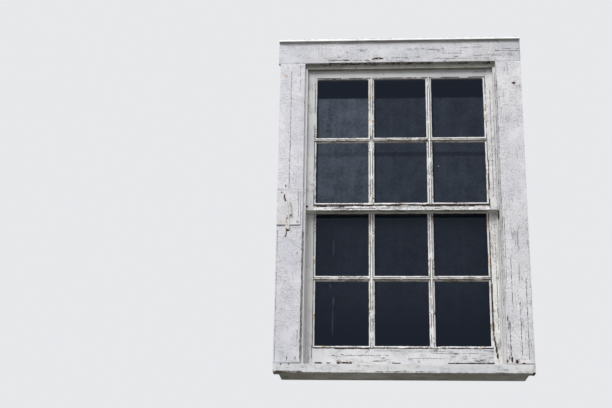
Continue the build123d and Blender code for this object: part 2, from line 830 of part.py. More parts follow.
def make_weight(side, centre, foot, top):
    """Cast-iron sash weight with a neck and an eye for the cord."""
    radius = weight_diameter / 2
    neck = weight_neck_diameter / 2
    with BuildPart() as weight:
        with BuildSketch(Plane(origin=(side * weight_line, centre, 0), x_dir=(1, 0, 0), z_dir=(0, -1, 0))):
            with BuildLine():
                Polyline((0, foot), (radius - weight_round, foot))
                RadiusArc((radius - weight_round, foot), (radius, foot + weight_round), -weight_round)
                Polyline((radius, foot + weight_round),
                         (radius, top - weight_neck_length - weight_round),
                         (neck, top - weight_neck_length), (neck, top - weight_round))
                RadiusArc((neck, top - weight_round), (neck - weight_round, top), -weight_round)
                Polyline((neck - weight_round, top), (0, top), (0, foot))
            make_face()
        revolve(axis=Axis((side * weight_line, centre, 0), (0, 0, 1)))
        eye = (side * weight_line, centre, top - weight_eye_drop)
        with BuildSketch(Plane(origin=eye, x_dir=(1, 0, 0), z_dir=(0, 1, 0))):
            Circle(weight_eye_diameter / 2)
        extrude(amount=radius, both=True, mode=Mode.SUBTRACT)
    return weight


def make_cord(side, centre, knot, weight_top):
    """Sash cord from its knot in the sash, over the pulley and down to the weight's eye."""
    crown = pulley_height + pulley_pitch_radius
    with BuildPart() as cord:
        with BuildLine():
            Line((-cord_line, centre, knot), (-cord_line, centre, pulley_height))
            ThreePointArc((-cord_line, centre, pulley_height), (-pulley_line, centre, crown),
                          (-weight_line, centre, pulley_height))
            Line((-weight_line, centre, pulley_height), (-weight_line, centre, weight_top))
        with BuildSketch(Plane(origin=(-cord_line, centre, knot), x_dir=(1, 0, 0), z_dir=(0, 0, 1))):
            Circle(cord_diameter / 2)
        sweep()
        with Locations((knot_depth - sash_half, centre, knot)):
            Sphere(knot_diameter / 2)
        if side > 0:
            mirror(about=Plane.YZ, mode=Mode.REPLACE)
    return cord


def save_hanging(name, centre, stile_top, weight_foot, weight_top):
    """Pulleys, weights and cords of one sash, left and right."""
    for side_name, side in sides.items():
        save(make_pulley(side, centre), f"{name}_{side_name}_pulley")
        save(make_weight(side, centre, weight_foot, weight_top), f"{name}_{side_name}_weight")
        save(make_cord(side, centre, knot_height(stile_top), weight_top), f"{name}_{side_name}_cord")


# Sash lock and lifts


def make_lock_base():
    """Plate and pivot of the sash lock, on the lower meeting rail."""
    with BuildPart() as base:
        with BuildSketch(Plane.XY.offset(meeting_top)):
            with Locations((0, lock_pivot)):
                SlotOverall(lock_plate_length, lock_plate_width)
        extrude(amount=lock_plate_thickness)
        with BuildSketch(Plane.XY.offset(meeting_top)):
            with Locations((0, lock_pivot)):
                Circle(lock_boss_diameter / 2)
        extrude(amount=lock_plate_thickness + lock_boss_height)
        with BuildSketch(Plane.XY.offset(meeting_top)):
            with Locations((0, lock_pivot)):
                Circle(lock_pin_diameter / 2)
        extrude(amount=lever_level + lever_thickness - meeting_top + lever_lift)
    return base


def make_lock_lever():
    """Lever of the sash lock, open: its cam lies along the rail, with a knob on its tail."""
    with BuildPart() as lever:
        with BuildSketch(Plane.XY.offset(lever_level)):
            with Locations((0, lock_pivot)):
                Circle(lever_hub_diameter / 2)
            with Locations((lever_reach / 2, lock_pivot)):
                SlotOverall(lever_reach, lever_cam_width)
            with Locations((-lever_tail / 2, lock_pivot)):
                SlotOverall(lever_tail, lever_tail_width)
            with Locations((0, lock_pivot)):
                Circle(lock_pin_diameter / 2 + lock_pin_clearance, mode=Mode.SUBTRACT)
        extrude(amount=lever_thickness)
        with BuildSketch(Plane.XY.offset(lever_level + lever_thickness)):
            with Locations((-lever_tail + lever_tail_width / 2, lock_pivot)):
                Circle(lever_knob_diameter / 2)
        extrude(amount=lever_knob_height)
        fillet(faces().sort_by(Axis.Z)[-1].edges(), radius=lever_knob_round)
    return lever


def make_lock_keeper():
    """Keeper on the upper meeting rail, with a roof that the lever's cam passes under."""
    inner = meeting_depth(meeting_top) - keeper_setback
    outer = inner - keeper_width
    roof = lever_level + lever_thickness + keeper_clearance
    with BuildPart() as keeper:
        with BuildSketch(Plane.YZ):
            with BuildLine():
                Polyline((outer, meeting_top), (outer, roof + keeper_lip),
                         (inner - keeper_lip, roof + keeper_lip), (inner - keeper_lip, roof),
                         (outer + keeper_lip, roof), (outer + keeper_lip, meeting_top + keeper_lip),
                         (inner, meeting_top + keeper_lip), (inner, meeting_top), close=True)
            make_face()
        extrude(amount=keeper_length / 2, both=True)
    return keeper


def make_lifts():
    """Two hook lifts on the inner face of the bottom rail."""
    foot = lower_foot + lift_above_rail_foot
    plate = lower_back + lift_plate_thickness
    tip = lower_back + lift_reach
    with BuildPart() as lifts:
        for x in (-lift_spacing / 2, lift_spacing / 2):
            with BuildSketch(Plane.YZ.offset(x)):
                with BuildLine():
                    Polyline((lower_back, foot), (lower_back, foot + lift_height),
                             (plate, foot + lift_height), (plate, foot + lift_hook_thickness),
                             (tip - lift_hook_thickness, foot + lift_hook_thickness),
                             (tip - lift_hook_thickness, foot + lift_hook_rise),
                             (tip, foot + lift_hook_rise), (tip, foot), close=True)
                make_face()
                fillet(vertices().group_by(Axis.X)[-1].sort_by(Axis.Y)[0], radius=lift_hook_thickness)
            extrude(amount=lift_width / 2, both=True)
    return lifts


# Frame
jamb_blanks = {name: make_jamb_blank(side) for name, side in sides.items()}
save(make_sill(jamb_blanks.values()), "sill")
save(make_head_jamb(jamb_blanks.values()), "head_jamb")
head_casing = level_board(head_casing_half, -casing_thickness, 0, head_casing_foot, head_casing_top,
                          casing_arris, head_casing_shift)
save(head_casing, "head_casing")
save(make_drip_cap(), "drip_cap")
blind_head_foot = head_height - head_blind_stop_lip
blind_head_top = blind_head_foot + head_blind_stop_height
save(level_board(box_outer, 0, blind_stop_thickness, blind_head_foot, blind_head_top), "head_blind_stop")
save(make_head_parting_bead(), "head_parting_bead")
save(make_head_stop(), "head_inside_stop")
for side_name, side in sides.items():
    save(make_jamb(side), f"{side_name}_jamb")
    save(pocket_outline(side, pocket_clearance), f"{side_name}_pocket_cover")
    save(make_side_casing(side), f"{side_name}_casing")
    blind_stop = upright_board(side, blind_face, box_outer, 0, blind_stop_thickness, 0, blind_head_foot)
    save(standing_on_wash(blind_stop), f"{side_name}_blind_stop")
    save(make_side_bead(side), f"{side_name}_parting_bead")
    save(make_side_stop(side), f"{side_name}_inside_stop")
    box_back = upright_board(side, box_inner + box_depth, box_outer, blind_stop_thickness, jamb_back,
                             0, head_height)
    save(standing_on_wash(box_back), f"{side_name}_box_back")
    lining = upright_board(side, jamb_face, box_outer, jamb_back, jamb_back + box_lining_thickness,
                           box_lining_foot, head_height + head_jamb_thickness)
    save(lining, f"{side_name}_box_lining")
save(block_board(hinge_block_clearance, hinge_block_foot_gap), "hinge_block")
save(make_shutter_hinge(), "shutter_hinge")
save(make_pulley_housings(), "pulley_housings")

# Sashes and what hangs them
make_upper_sash()
make_lower_sash()
lower_weight_top = pulley_height - lower_weight_below_pulley
save_hanging("upper", upper_centre, upper_top, upper_weight_foot, upper_weight_foot + upper_weight_length)
save_hanging("lower", lower_centre, meeting_top, lower_weight_top - lower_weight_length, lower_weight_top)
save(make_lock_base(), "lock_base")
save(make_lock_lever(), "lock_lever")
save(make_lock_keeper(), "lock_keeper")
save(make_lifts(), "sash_lifts")
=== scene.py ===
import bmesh
import bpy
import random
from math import cos, pi, sin
from mathutils import Matrix, Vector, noise


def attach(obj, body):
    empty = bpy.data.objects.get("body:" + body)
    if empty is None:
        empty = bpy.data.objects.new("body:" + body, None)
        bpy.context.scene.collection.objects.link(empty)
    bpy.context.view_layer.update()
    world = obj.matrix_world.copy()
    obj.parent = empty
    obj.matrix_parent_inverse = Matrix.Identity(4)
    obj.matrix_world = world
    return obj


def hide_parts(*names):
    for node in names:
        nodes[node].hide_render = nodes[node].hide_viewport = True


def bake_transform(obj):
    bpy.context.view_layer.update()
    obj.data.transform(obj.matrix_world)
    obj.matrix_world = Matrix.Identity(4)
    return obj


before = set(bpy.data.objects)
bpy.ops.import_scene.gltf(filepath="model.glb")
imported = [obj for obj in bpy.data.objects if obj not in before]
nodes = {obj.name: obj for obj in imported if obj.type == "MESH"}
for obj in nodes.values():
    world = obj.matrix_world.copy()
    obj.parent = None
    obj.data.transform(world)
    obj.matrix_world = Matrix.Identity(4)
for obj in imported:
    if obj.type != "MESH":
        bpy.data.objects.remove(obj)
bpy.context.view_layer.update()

# Marks and depths are in millimetres, and MM turns them into metres
MM = 0.001

# Depths of the faces that look outdoors
CASING_FACE = -24
BLOCK_FACE = -29
NOSE_FACE = -57
UPPER_FACE = 23
LOWER_FACE = 72.7

# Depth at which the weathered paint ends on the sill and on each sash
SILL_PAINT_END = 60.0
UPPER_PAINT_END = 33.0
LOWER_PAINT_END = 83.0

# Pitch of the panes, and the level of the middle of the lower row of panes in each sash
PANE_PITCH_X = 264.0
PANE_PITCH_Z = 314.8
UPPER_PANE_MIDDLE = 925.45
LOWER_PANE_MIDDLE = 285.1

# Putty under the top rail: the level above which it lies, and the depth near the glass from which its face
# is painted dark as shade
TOP_PUTTY = 1305
TOP_PUTTY_BACK = 27.6

# Pulleys, the depth of each sash's track, and the sash cords, in metres
PULLEY_X = 0.456
PULLEY_Z = 1.3481
PULLEY_RADIUS = 0.025
UPPER_TRACK = 0.0405
LOWER_TRACK = 0.0902
CORD_RADIUS = 0.0034

# Knots in the sash and above the weight's eye, in metres
KNOT_X = 0.4275
KNOT_SIZE = 0.00145
KNOT_CORD_RADIUS = 0.0022
EYE_KNOT_RISE = 0.004
EYE_DEPTH = 0.002

# A drawn crack fades out over its taper at both ends, and over its edge at both sides
CRACK_TAPER = 6
CRACK_EDGE = 0.4


# Node helpers


class Tree:
    """Builds the nodes of one material or world."""

    def __init__(self, owner):
        owner.use_nodes = True
        self.owner = owner
        self.tree = owner.node_tree
        self.tree.nodes.clear()

    def node(self, kind, setup=None, **inputs):
        """Node with its settings and inputs. An input goes by its name, or by its number as _0 or _1."""
        made = self.tree.nodes.new(kind)
        for key, value in (setup or {}).items():
            setattr(made, key, value)
        for key, value in inputs.items():
            socket = made.inputs[int(key[1:]) if key[0] == "_" else key.replace("_", " ")]
            if isinstance(value, bpy.types.NodeSocket):
                self.tree.links.new(value, socket)
            else:
                socket.default_value = value
        return made

    def math(self, operation, a, b=0.0, c=0.0, clamp=False):
        made = self.node("ShaderNodeMath", {"operation": operation, "use_clamp": clamp}, _0=a, _1=b, _2=c)
        return made.outputs[0]

    def times(self, a, b):
        return self.math("MULTIPLY", a, b)

    def times_plus(self, a, b, c):
        """a times b, plus c."""
        return self.math("MULTIPLY_ADD", a, b, c)

    def highest(self, values):
        result = values[0]
        for value in values[1:]:
            result = self.math("MAXIMUM", result, value)
        return result

    def span(self, value, low, high):
        """0 below low and 1 above high, or the other way round where low is the larger."""
        start, end = (1.0, 0.0) if low > high else (0.0, 1.0)
        made = self.node("ShaderNodeMapRange", {"interpolation_type": "SMOOTHSTEP", "clamp": True},
                         Value=value, From_Min=min(low, high), From_Max=max(low, high), To_Min=start,
                         To_Max=end)
        return made.outputs["Result"]

    def mix(self, factor, a, b):
        """Colour between a and b."""
        return self.node("ShaderNodeMix", {"data_type": "RGBA"}, _0=factor, _6=a, _7=b).outputs[2]


class Surface(Tree):
    """Nodes of one material. Textures sit in the object's own metres, so they move with it."""

    def __init__(self, name):
        super().__init__(bpy.data.materials.new(name))
        self.place = self.node("ShaderNodeTexCoord").outputs["Object"]
        self.x, self.y, self.z = self.node("ShaderNodeSeparateXYZ", Vector=self.place).outputs[:3]
        facing = self.node("ShaderNodeTexCoord").outputs["Normal"]
        self.rise = self.node("ShaderNodeSeparateXYZ", Vector=facing).outputs["Z"]

    def stretched(self, scale, shift=(0.0, 0.0, 0.0)):
        """Place scaled by axis, so that a texture runs along the grain."""
        return self.node("ShaderNodeMapping", Vector=self.place, Scale=scale, Location=shift).outputs[0]

    def shifted(self, shift):
        return self.stretched((1.0, 1.0, 1.0), shift)

    def noise(self, scale, detail=4.0, rough=0.55, vector=None, distortion=0.0):
        made = self.node("ShaderNodeTexNoise", Vector=vector or self.place, Scale=scale, Detail=detail,
                         Roughness=rough, Distortion=distortion)
        return made.outputs["Fac"]

    def cells(self, scale, vector):
        """Distance to the edges of a net of uneven cells."""
        made = self.node("ShaderNodeTexVoronoi", {"feature": "DISTANCE_TO_EDGE"}, Vector=vector,
                         Scale=scale)
        return made.outputs["Distance"]

    def zone(self, low, high, fade):
        """Box whose sides fade over a distance; None leaves an axis open."""
        result = None
        for axis, a, b in zip((self.x, self.y, self.z), low, high):
            for value, sign in ((a, 1), (b, -1)):
                if value is None:
                    continue
                edge = value * MM
                inside = self.span(axis, edge - sign * fade * MM, edge + sign * fade * MM)
                result = inside if result is None else self.times(result, inside)
        return result

    def spot(self, x, z, rx, rz, ragged, soft):
        """Ragged round mark on an upright face."""
        dx = self.times(self.math("SUBTRACT", self.x, x * MM), 1 / (rx * MM))
        dz = self.times(self.math("SUBTRACT", self.z, z * MM), 1 / (rz * MM))
        reach = self.math("SQRT", self.math("ADD", self.times(dx, dx), self.times(dz, dz)))
        return self.span(self.math("ADD", reach, ragged), 1 + soft, 1 - soft)

    def line(self, axis, at, low, high, width, sway, swell):
        """Line along an axis that wanders by sway and reaches swell times its width to each side."""
        run, aside = (self.z, self.x) if axis == "z" else (self.x, self.z)
        off = self.math("ABSOLUTE", self.math("ADD", self.math("SUBTRACT", aside, at * MM), sway))
        beyond = self.times_plus(swell, -width * MM, off)
        window = self.times(self.span(run, low * MM, (low + CRACK_TAPER) * MM),
                            self.span(run, high * MM, (high - CRACK_TAPER) * MM))
        return self.times(self.span(beyond, CRACK_EDGE * MM, -CRACK_EDGE * MM), window)

    def output(self, shader):
        """Show a shader, and give back the material."""
        self.node("ShaderNodeOutputMaterial", Surface=shader.outputs[0])
        return self.owner

    def finish(self, colour, roughness, height, **inputs):
        """Plain shader with a bump, its height in millimetres."""
        bump = self.node("ShaderNodeBump", Height=height, Distance=MM, Strength=1.0)
        return self.output(self.node("ShaderNodeBsdfPrincipled", Base_Color=colour, Roughness=roughness,
                                     Normal=bump.outputs[0], **inputs))


def rgb(*levels):
    """Colour written as the eight-bit value that it shows as."""
    shares = [level / 255 for level in levels]
    return tuple(s / 12.92 if s < 0.04045 else ((s + 0.055) / 1.055) ** 2.4 for s in shares) + (1.0,)


def along(grain, stretch):
    """Scale of a texture that is drawn out along the grain."""
    return tuple(stretch if axis == grain else 1.0 for axis in "xyz")


def across(grain, stretch):
    """Scale of a texture that is drawn out across the grain."""
    return tuple(1.0 if axis == grain else stretch for axis in "xyz")


# Old paint on wood


def old_paint(name, grain, tone, wear, zones=(), spots=(), holes=(), lines=(), slots=(), stains_and_shadows=(),
              checks=1.0, gape=1.0, crackled=0.5, netted=0.0, ripple=0.0, seed=0.0, grime=0.12,
              under=(122, 119, 100), indoors=None):
    """Off-white oil paint, checked along the grain and chipped to grey wood, darker and olive where it
    faces down.

    A zone is two corners, a fade and how much more is worn there. A stain, or a painted shadow, is two
    corners, a fade, a strength and a colour. A bare spot or a black hole is x, z and two radii. A crack in
    lines, or an open joint in slots, is an axis, its place across, its start, its end and a width. Behind
    the depth indoors the paint is sound.
    """
    t = Surface(name)
    shift = (seed, seed * 0.7, seed * 1.3)
    fine = t.stretched(along(grain, 0.05), shift)
    long = t.stretched(along(grain, 0.10), shift)
    medium = t.stretched(along(grain, 0.22), shift)
    here = t.shifted(shift)
    blotch = t.noise(5.0, 3.0, vector=here)
    fibre = t.noise(900.0, 3.0, 0.6, vector=fine)
    streak = t.noise(160.0, 4.0, 0.6, vector=fine)
    speck = t.noise(260.0, 3.0, 0.7, vector=here)
    outside = t.span(t.y, (indoors + 2) * MM, (indoors - 2) * MM) if indoors else 1.0

    # Bare wood: ragged patches, thick in the zones and thin elsewhere, with a lifted rim of paint that is
    # painted lighter, a painted highlight on its edge
    patch = t.noise(48.0, 7.0, 0.64, vector=medium, distortion=0.5)
    bias = t.times_plus(t.noise(2.6, 2.0, vector=here), 0.12, wear - 0.10)
    for low, high, fade, strength in zones:
        bias = t.times_plus(t.zone(low, high, fade), strength, bias)
    if indoors:
        bias = t.times_plus(t.math("SUBTRACT", 1.0, outside), -0.2, bias)
    field = t.math("ADD", patch, bias)
    ragged = t.times_plus(t.noise(180.0, 4.0, 0.65, vector=here), 1.3, -0.65)
    for x, z, rx, rz in spots:
        chipped = t.times(t.spot(x, z, rx, rz, ragged, 0.35), outside)
        field = t.times_plus(chipped, 0.4, field)
    bare = t.span(field, 0.700, 0.715)
    rim = t.math("SUBTRACT", t.span(field, 0.655, 0.70), bare, clamp=True)

    # Checks: fine lines that wander along the grain, open only in places
    checked = []
    for scale, vector, width, spread, low, high in (
            (60.0, fine, 0.016, 13.0, 0.44, 0.56), (150.0, long, 0.028, 24.0, 0.52, 0.62)):
        off = t.math("ABSOLUTE", t.math("SUBTRACT", t.noise(scale, 3.0, 0.55, vector=vector), 0.5))
        opened = t.span(t.times_plus(bias, 1.2, t.noise(spread, 4.0, 0.6, vector=here)), low, high)
        checked.append(t.times(t.span(off, width * gape, width * gape * 0.5), opened))
    crack = t.math("MULTIPLY", t.highest(checked), checks, clamp=True)

    # A net of crackle, and the cracks that have a place of their own
    net = t.span(t.cells(130.0, t.stretched(along(grain, 0.6), shift)), 0.075, 0.03)
    crazed = t.math("ADD", bias, t.noise(20.0, 5.0, 0.65, vector=here))
    net = t.times(net, t.span(crazed, 0.44 - netted, 0.56 - netted))
    crack = t.math("MAXIMUM", crack, t.times(net, crackled))
    sway = t.times_plus(t.noise(22.0, 3.0, vector=fine), 0.010, -0.005)
    swell = t.times_plus(t.noise(70.0, 3.0, vector=here), 3.2, -1.0)
    for line in lines:
        crack = t.math("MAXIMUM", crack, t.line(*line, sway, swell))
    crack = t.times(crack, outside)

    # Black places: rotted holes, coloured near black for the rot and as painted shade inside them, and
    # open joints
    black = [t.spot(x, z, rx, rz, ragged, 0.2) for x, z, rx, rz in holes]
    around = [t.spot(x, z, rx * 1.3, rz * 1.3, ragged, 0.2) for x, z, rx, rz in holes]
    wander = t.times_plus(t.noise(60.0, 4.0, 0.6, vector=here), 0.006, -0.003)
    yawn = t.times_plus(t.noise(38.0, 4.0, 0.6, vector=here), 2.4, -0.2)
    for axis, at, low, high, width in slots:
        black.append(t.line(axis, at, low, high, width, wander, yawn))
        around.append(t.line(axis, at + 1.0, low - 2, high + 2, width * 1.2, wander, yawn))

    # Colour of the paint, with its ripples, dirt, stains and painted shadows
    cool = rgb(tone[0] - 11, tone[1] - 10, tone[2] - 7)
    warm = rgb(tone[0] - 5, tone[1] - 7, tone[2] - 14)
    paint = t.mix(t.span(blotch, 0.36, 0.66), rgb(*tone), cool)
    paint = t.mix(t.times(t.span(streak, 0.5, 0.78), 0.45), paint, warm)
    paint = t.mix(t.times(t.span(speck, 0.62, 0.78), 0.30), paint, rgb(150, 147, 140))
    if ripple:
        wave = t.noise(150.0, 3.0, 0.6, vector=t.stretched(across(grain, 0.12), shift))
        crest = t.span(t.math("ABSOLUTE", t.math("SUBTRACT", wave, 0.5)), 0.05, 0.01)
        amount = t.times(crest, t.span(t.noise(9.0, 4.0, 0.6, vector=here), 0.4, 0.6))
        paint = t.mix(t.times(amount, ripple), paint, rgb(128, 127, 130))
    dirt = t.times(t.span(t.noise(17.0, 5.0, 0.65, vector=medium), 0.42, 0.75), grime)
    paint = t.mix(dirt, paint, rgb(118, 115, 104))
    for low, high, fade, strength, colour in stains_and_shadows:
        amount = t.times(t.zone(low, high, fade), t.span(streak, 0.30, 0.62))
        paint = t.mix(t.times(amount, strength), paint, rgb(*colour))
    # Where it faces down the paint is mixed towards the darker colour under
    below = t.times_plus(t.span(blotch, 0.3, 0.6), 0.3, 0.5)
    paint = t.mix(t.times(t.span(t.rise, -0.2, -0.7), below), paint, rgb(*under))
    if indoors:
        paint = t.mix(outside, rgb(202, 198, 186), paint)

    # Colour of the whole
    wood = t.mix(t.span(fibre, 0.35, 0.65), rgb(64, 54, 46), rgb(116, 104, 90))
    wood = t.mix(t.times(t.span(patch, 0.55, 0.8), 0.6), wood, rgb(56, 40, 32))
    # The lifted rim is painted near white: a painted highlight on the broken edge
    colour = t.mix(rim, paint, rgb(234, 234, 233))
    colour = t.mix(t.times(crack, 0.9), colour, rgb(56, 49, 43))
    colour = t.mix(bare, colour, wood)
    depth = bare
    if black:
        hole = t.times(t.highest(black), outside)
        edge = t.times(t.times(t.highest(around), outside), 0.55)
        # Round a hole or joint the edge shows brown wood or near-white paint, the near-white a painted
        # highlight on the broken edge
        colour = t.mix(edge, colour, t.mix(t.span(speck, 0.4, 0.6), rgb(150, 112, 84), rgb(232, 228, 224)))
        colour = t.mix(hole, colour, rgb(36, 29, 26))
        depth = t.math("MAXIMUM", bare, hole)

    # Height of the skin of paint, and of the wood that shows through it
    skin = t.times(t.noise(420.0, 2.0, 0.5, vector=fine), 0.10)
    skin = t.times_plus(streak, 0.15, skin)
    skin = t.times_plus(crack, -0.5, skin)
    skin = t.times_plus(rim, 0.25, skin)
    sunk = t.times_plus(fibre, 0.30, -0.75)
    height = t.node("ShaderNodeMix", {"data_type": "FLOAT"}, _0=depth, _2=skin, _3=sunk).outputs[0]
    rough = t.times_plus(t.math("MAXIMUM", depth, crack), 0.26, 0.56)
    return t.finish(colour, t.times_plus(blotch, 0.12, rough), height)


def indoor_paint(name, grain, tone, seed):
    """Paint that never met the weather: brush marks, a few knocks and handling dirt."""
    t = Surface(name)
    shift = (seed, seed * 0.4, seed)
    here = t.shifted(shift)
    brush = t.noise(520.0, 3.0, 0.5, vector=t.stretched(along(grain, 0.04), shift))
    blotch = t.noise(7.0, 4.0, vector=here)
    knock = t.span(t.noise(34.0, 5.0, 0.6, vector=here), 0.715, 0.73)
    net = t.cells(30.0, t.stretched(along(grain, 0.08), shift))
    crack = t.times(t.span(net, 0.012, 0.003), t.span(blotch, 0.52, 0.62))
    paint = t.mix(t.span(blotch, 0.35, 0.65), rgb(*tone), rgb(tone[0] - 14, tone[1] - 14, tone[2] - 16))
    paint = t.mix(t.times(t.span(brush, 0.5, 0.8), 0.25), paint, rgb(172, 166, 150))
    colour = t.mix(t.times(crack, 0.8), paint, rgb(96, 84, 66))
    colour = t.mix(knock, colour, rgb(120, 98, 72))
    height = t.times_plus(brush, 0.12, t.times(t.math("MAXIMUM", knock, crack), -0.3))
    return t.finish(colour, t.times_plus(blotch, 0.15, 0.38), height)


def bare_wood(name, grain, seed):
    """Unpainted pine gone brown: growth rings, rays and saw marks."""
    t = Surface(name)
    shift = (seed, seed, seed)
    direction = "Z" if grain == "x" else "X"
    rings = t.node("ShaderNodeTexWave", {"wave_type": "BANDS", "bands_direction": direction},
                   Vector=t.stretched(along(grain, 0.06), shift), Scale=16.0, Distortion=11.0, Detail=4.0,
                   Detail_Scale=0.8).outputs["Fac"]
    fibre = t.noise(800.0, 3.0, 0.6, vector=t.stretched(along(grain, 0.03), shift))
    colour = t.mix(t.span(rings, 0.2, 0.9), rgb(160, 128, 90), rgb(136, 103, 68))
    colour = t.mix(t.times(t.span(fibre, 0.45, 0.7), 0.5), colour, rgb(104, 74, 48))
    colour = t.mix(t.times(t.span(t.noise(4.0, 4.0), 0.4, 0.7), 0.6), colour, rgb(96, 82, 66))
    saw = t.noise(300.0, 1.0, 0.5, vector=t.stretched(across(grain, 0.05)))
    height = t.times_plus(fibre, 0.2, t.times(saw, 0.15))
    return t.finish(colour, 0.78, height)


# Glass and putty


def from_middle(t, axis, middle, pitch):
    """Distance along an axis from the middle of the nearest pane, where one pane's middle is known."""
    return t.math("PINGPONG", t.times_plus(axis, 1 / MM, -middle), pitch / 2)


def old_glass(name, pane_middle, dust_and_reflection_films, seed, drops):
    """Drawn glass, tinted nearly black as a painted shade for the dark room behind it, with wavy faces,
    faint runs and dust on it.

    A film, of dust and of painted reflection, is two corners, a fade and a strength; a negative strength
    lays a darker band. A drop or run is x, z, two radii and a strength.
    """
    t = Surface(name)
    shift = (seed, seed, seed)
    here = t.shifted(shift)
    cloud = t.noise(14.0, 5.0, 0.62, vector=here)
    fine = t.noise(240.0, 4.0, 0.7, vector=here)
    mottle = t.noise(75.0, 3.0, 0.6, vector=here)
    runs = t.noise(42.0, 4.0, 0.65, vector=t.stretched((1.0, 1.0, 0.08), shift))

    # Dust lies thicker near the cross bars, and a margin at the left of each pane is kept clean and dark,
    # a painted shade of the bar
    amount = t.times(t.span(from_middle(t, t.z, pane_middle, PANE_PITCH_Z), 132.0, 147.0), 0.02)
    # Films add dust and painted reflection; a negative one is a darker band, a painted shade in the
    # reflection
    for low, high, fade, strength in dust_and_reflection_films:
        amount = t.times_plus(t.zone(low, high, fade), strength, amount)
    # No dust or film lies in the left margin, so it stays dark as painted shade
    share = t.math("FRACT", t.times_plus(t.x, 1 / (PANE_PITCH_X * MM), 0.5))
    amount = t.math("MULTIPLY", amount, t.span(share, 0.064, 0.088), clamp=True)
    uneven = t.times_plus(t.span(cloud, 0.32, 0.68), 0.5, t.times(t.span(runs, 0.4, 0.7), 0.25))
    uneven = t.times_plus(t.span(mottle, 0.35, 0.65), 0.35, uneven)
    amount = t.times(amount, t.times_plus(fine, 0.4, t.math("ADD", uneven, 0.25)))
    ragged = t.times_plus(fine, 0.8, -0.4)
    for x, z, rx, rz, strength in drops:
        amount = t.math("MAXIMUM", amount, t.times(t.spot(x, z, rx, rz, ragged, 0.5), strength))

    slow = t.noise(9.0, 2.0, vector=t.stretched((1.0, 1.0, 0.35), shift))
    wavy = t.times_plus(slow, 0.7, t.times(fine, 0.003))
    bump = t.node("ShaderNodeBump", Height=wavy, Distance=MM, Strength=1.0)
    # Tinted nearly black and letting little through: a painted shade that stands for the dark room behind
    glass = t.node("ShaderNodeBsdfPrincipled", Base_Color=(0.002, 0.004, 0.010, 1.0), Roughness=0.03,
                   IOR=1.5, Specular_IOR_Level=0.2, Specular_Tint=(0.58, 0.68, 0.88, 1.0),
                   Transmission_Weight=0.3, Normal=bump.outputs[0])
    # Pale film of dust, which also stands as a painted reflection
    dusty = t.node("ShaderNodeBsdfPrincipled", Base_Color=rgb(126, 137, 153), Roughness=0.9)
    return t.output(t.node("ShaderNodeMixShader", _0=amount, _1=glass.outputs[0], _2=dusty.outputs[0]))


def old_putty(name, pane_middle, seed, gone_bias, peach):
    """Painted linseed putty: cracked across, loose from the wood, and bare where the paint is gone.

    In the zones of peach more of the paint is gone.
    """
    t = Surface(name)
    here = t.shifted((seed, seed, seed))
    tone = t.noise(24.0, 5.0, 0.6, vector=here)
    grit = t.noise(600.0, 3.0, 0.7, vector=here)

    # It has come loose along the wood, and has cracks of its own
    edge = t.math("MAXIMUM", t.span(from_middle(t, t.x, 0.0, PANE_PITCH_X), 124.6, 126.6),
                  t.span(from_middle(t, t.z, pane_middle, PANE_PITCH_Z), 149.4, 151.6))
    loose = t.times(edge, t.span(t.noise(16.0, 5.0, 0.65, vector=here), 0.40, 0.48))
    opened = t.span(t.noise(12.0, 3.0, vector=here), 0.48, 0.60)
    crack = t.times(t.span(t.cells(60.0, here), 0.07, 0.03), opened)
    crack = t.math("MAXIMUM", crack, loose)

    bias = t.math("ADD", tone, gone_bias)
    for low, high, fade, strength in peach:
        bias = t.times_plus(t.zone(low, high, fade), strength, bias)
    gone = t.span(bias, 0.58, 0.63)
    paint = t.mix(t.span(grit, 0.4, 0.7), rgb(230, 230, 229), rgb(206, 205, 202))
    raw = t.mix(t.span(tone, 0.5, 0.8), rgb(226, 208, 188), rgb(176, 154, 132))
    colour = t.mix(gone, paint, raw)

    # Darker and browner where it faces down, except under the top rail, where the half that meets the
    # glass is painted dark: painted shade in the gap where it has shrunk from the glass
    down = t.span(t.rise, -0.15, -0.6)
    dark_underside = t.times(down, t.times_plus(t.span(tone, 0.35, 0.6), 0.3, 0.6))
    lower = t.span(t.z, (TOP_PUTTY + 5) * MM, (TOP_PUTTY - 5) * MM)
    colour = t.mix(t.times(dark_underside, lower), colour, rgb(98, 89, 72))
    shrink_gap_shade = t.times(down, t.zone((None, TOP_PUTTY_BACK, TOP_PUTTY), (None, None, None), 1))
    crack = t.math("MAXIMUM", crack, shrink_gap_shade)

    colour = t.mix(t.times(crack, 0.92), colour, rgb(42, 34, 29))
    height = t.times_plus(grit, 0.25, t.times_plus(crack, -0.6, t.times(gone, -0.4)))
    return t.finish(colour, 0.72, height)


# Iron, brass and cord


def rusty_paint(name):
    """Off-white paint over rusting iron: chipped and pitted, with rust bleeding down its middle."""
    t = Surface(name)
    bled = t.times(t.zone((-511, None, None), (-502, None, 705), 3), 0.16)
    rust = t.span(t.math("ADD", t.noise(150.0, 6.0, 0.65), bled), 0.66, 0.70)
    pit = t.noise(900.0, 3.0, 0.7)
    paint = t.mix(t.span(t.noise(60.0), 0.4, 0.7), rgb(208, 208, 206), rgb(176, 174, 170))
    chips = t.span(t.noise(260.0, 4.0, 0.7), 0.56, 0.62)
    paint = t.mix(t.times(chips, 0.7), paint, rgb(92, 84, 76))
    iron = t.mix(t.span(pit, 0.4, 0.65), rgb(92, 56, 38), rgb(158, 104, 70))
    height = t.times_plus(pit, 0.35, t.times(rust, -0.35))
    return t.finish(t.mix(rust, paint, iron), t.times_plus(rust, 0.3, 0.5), height)


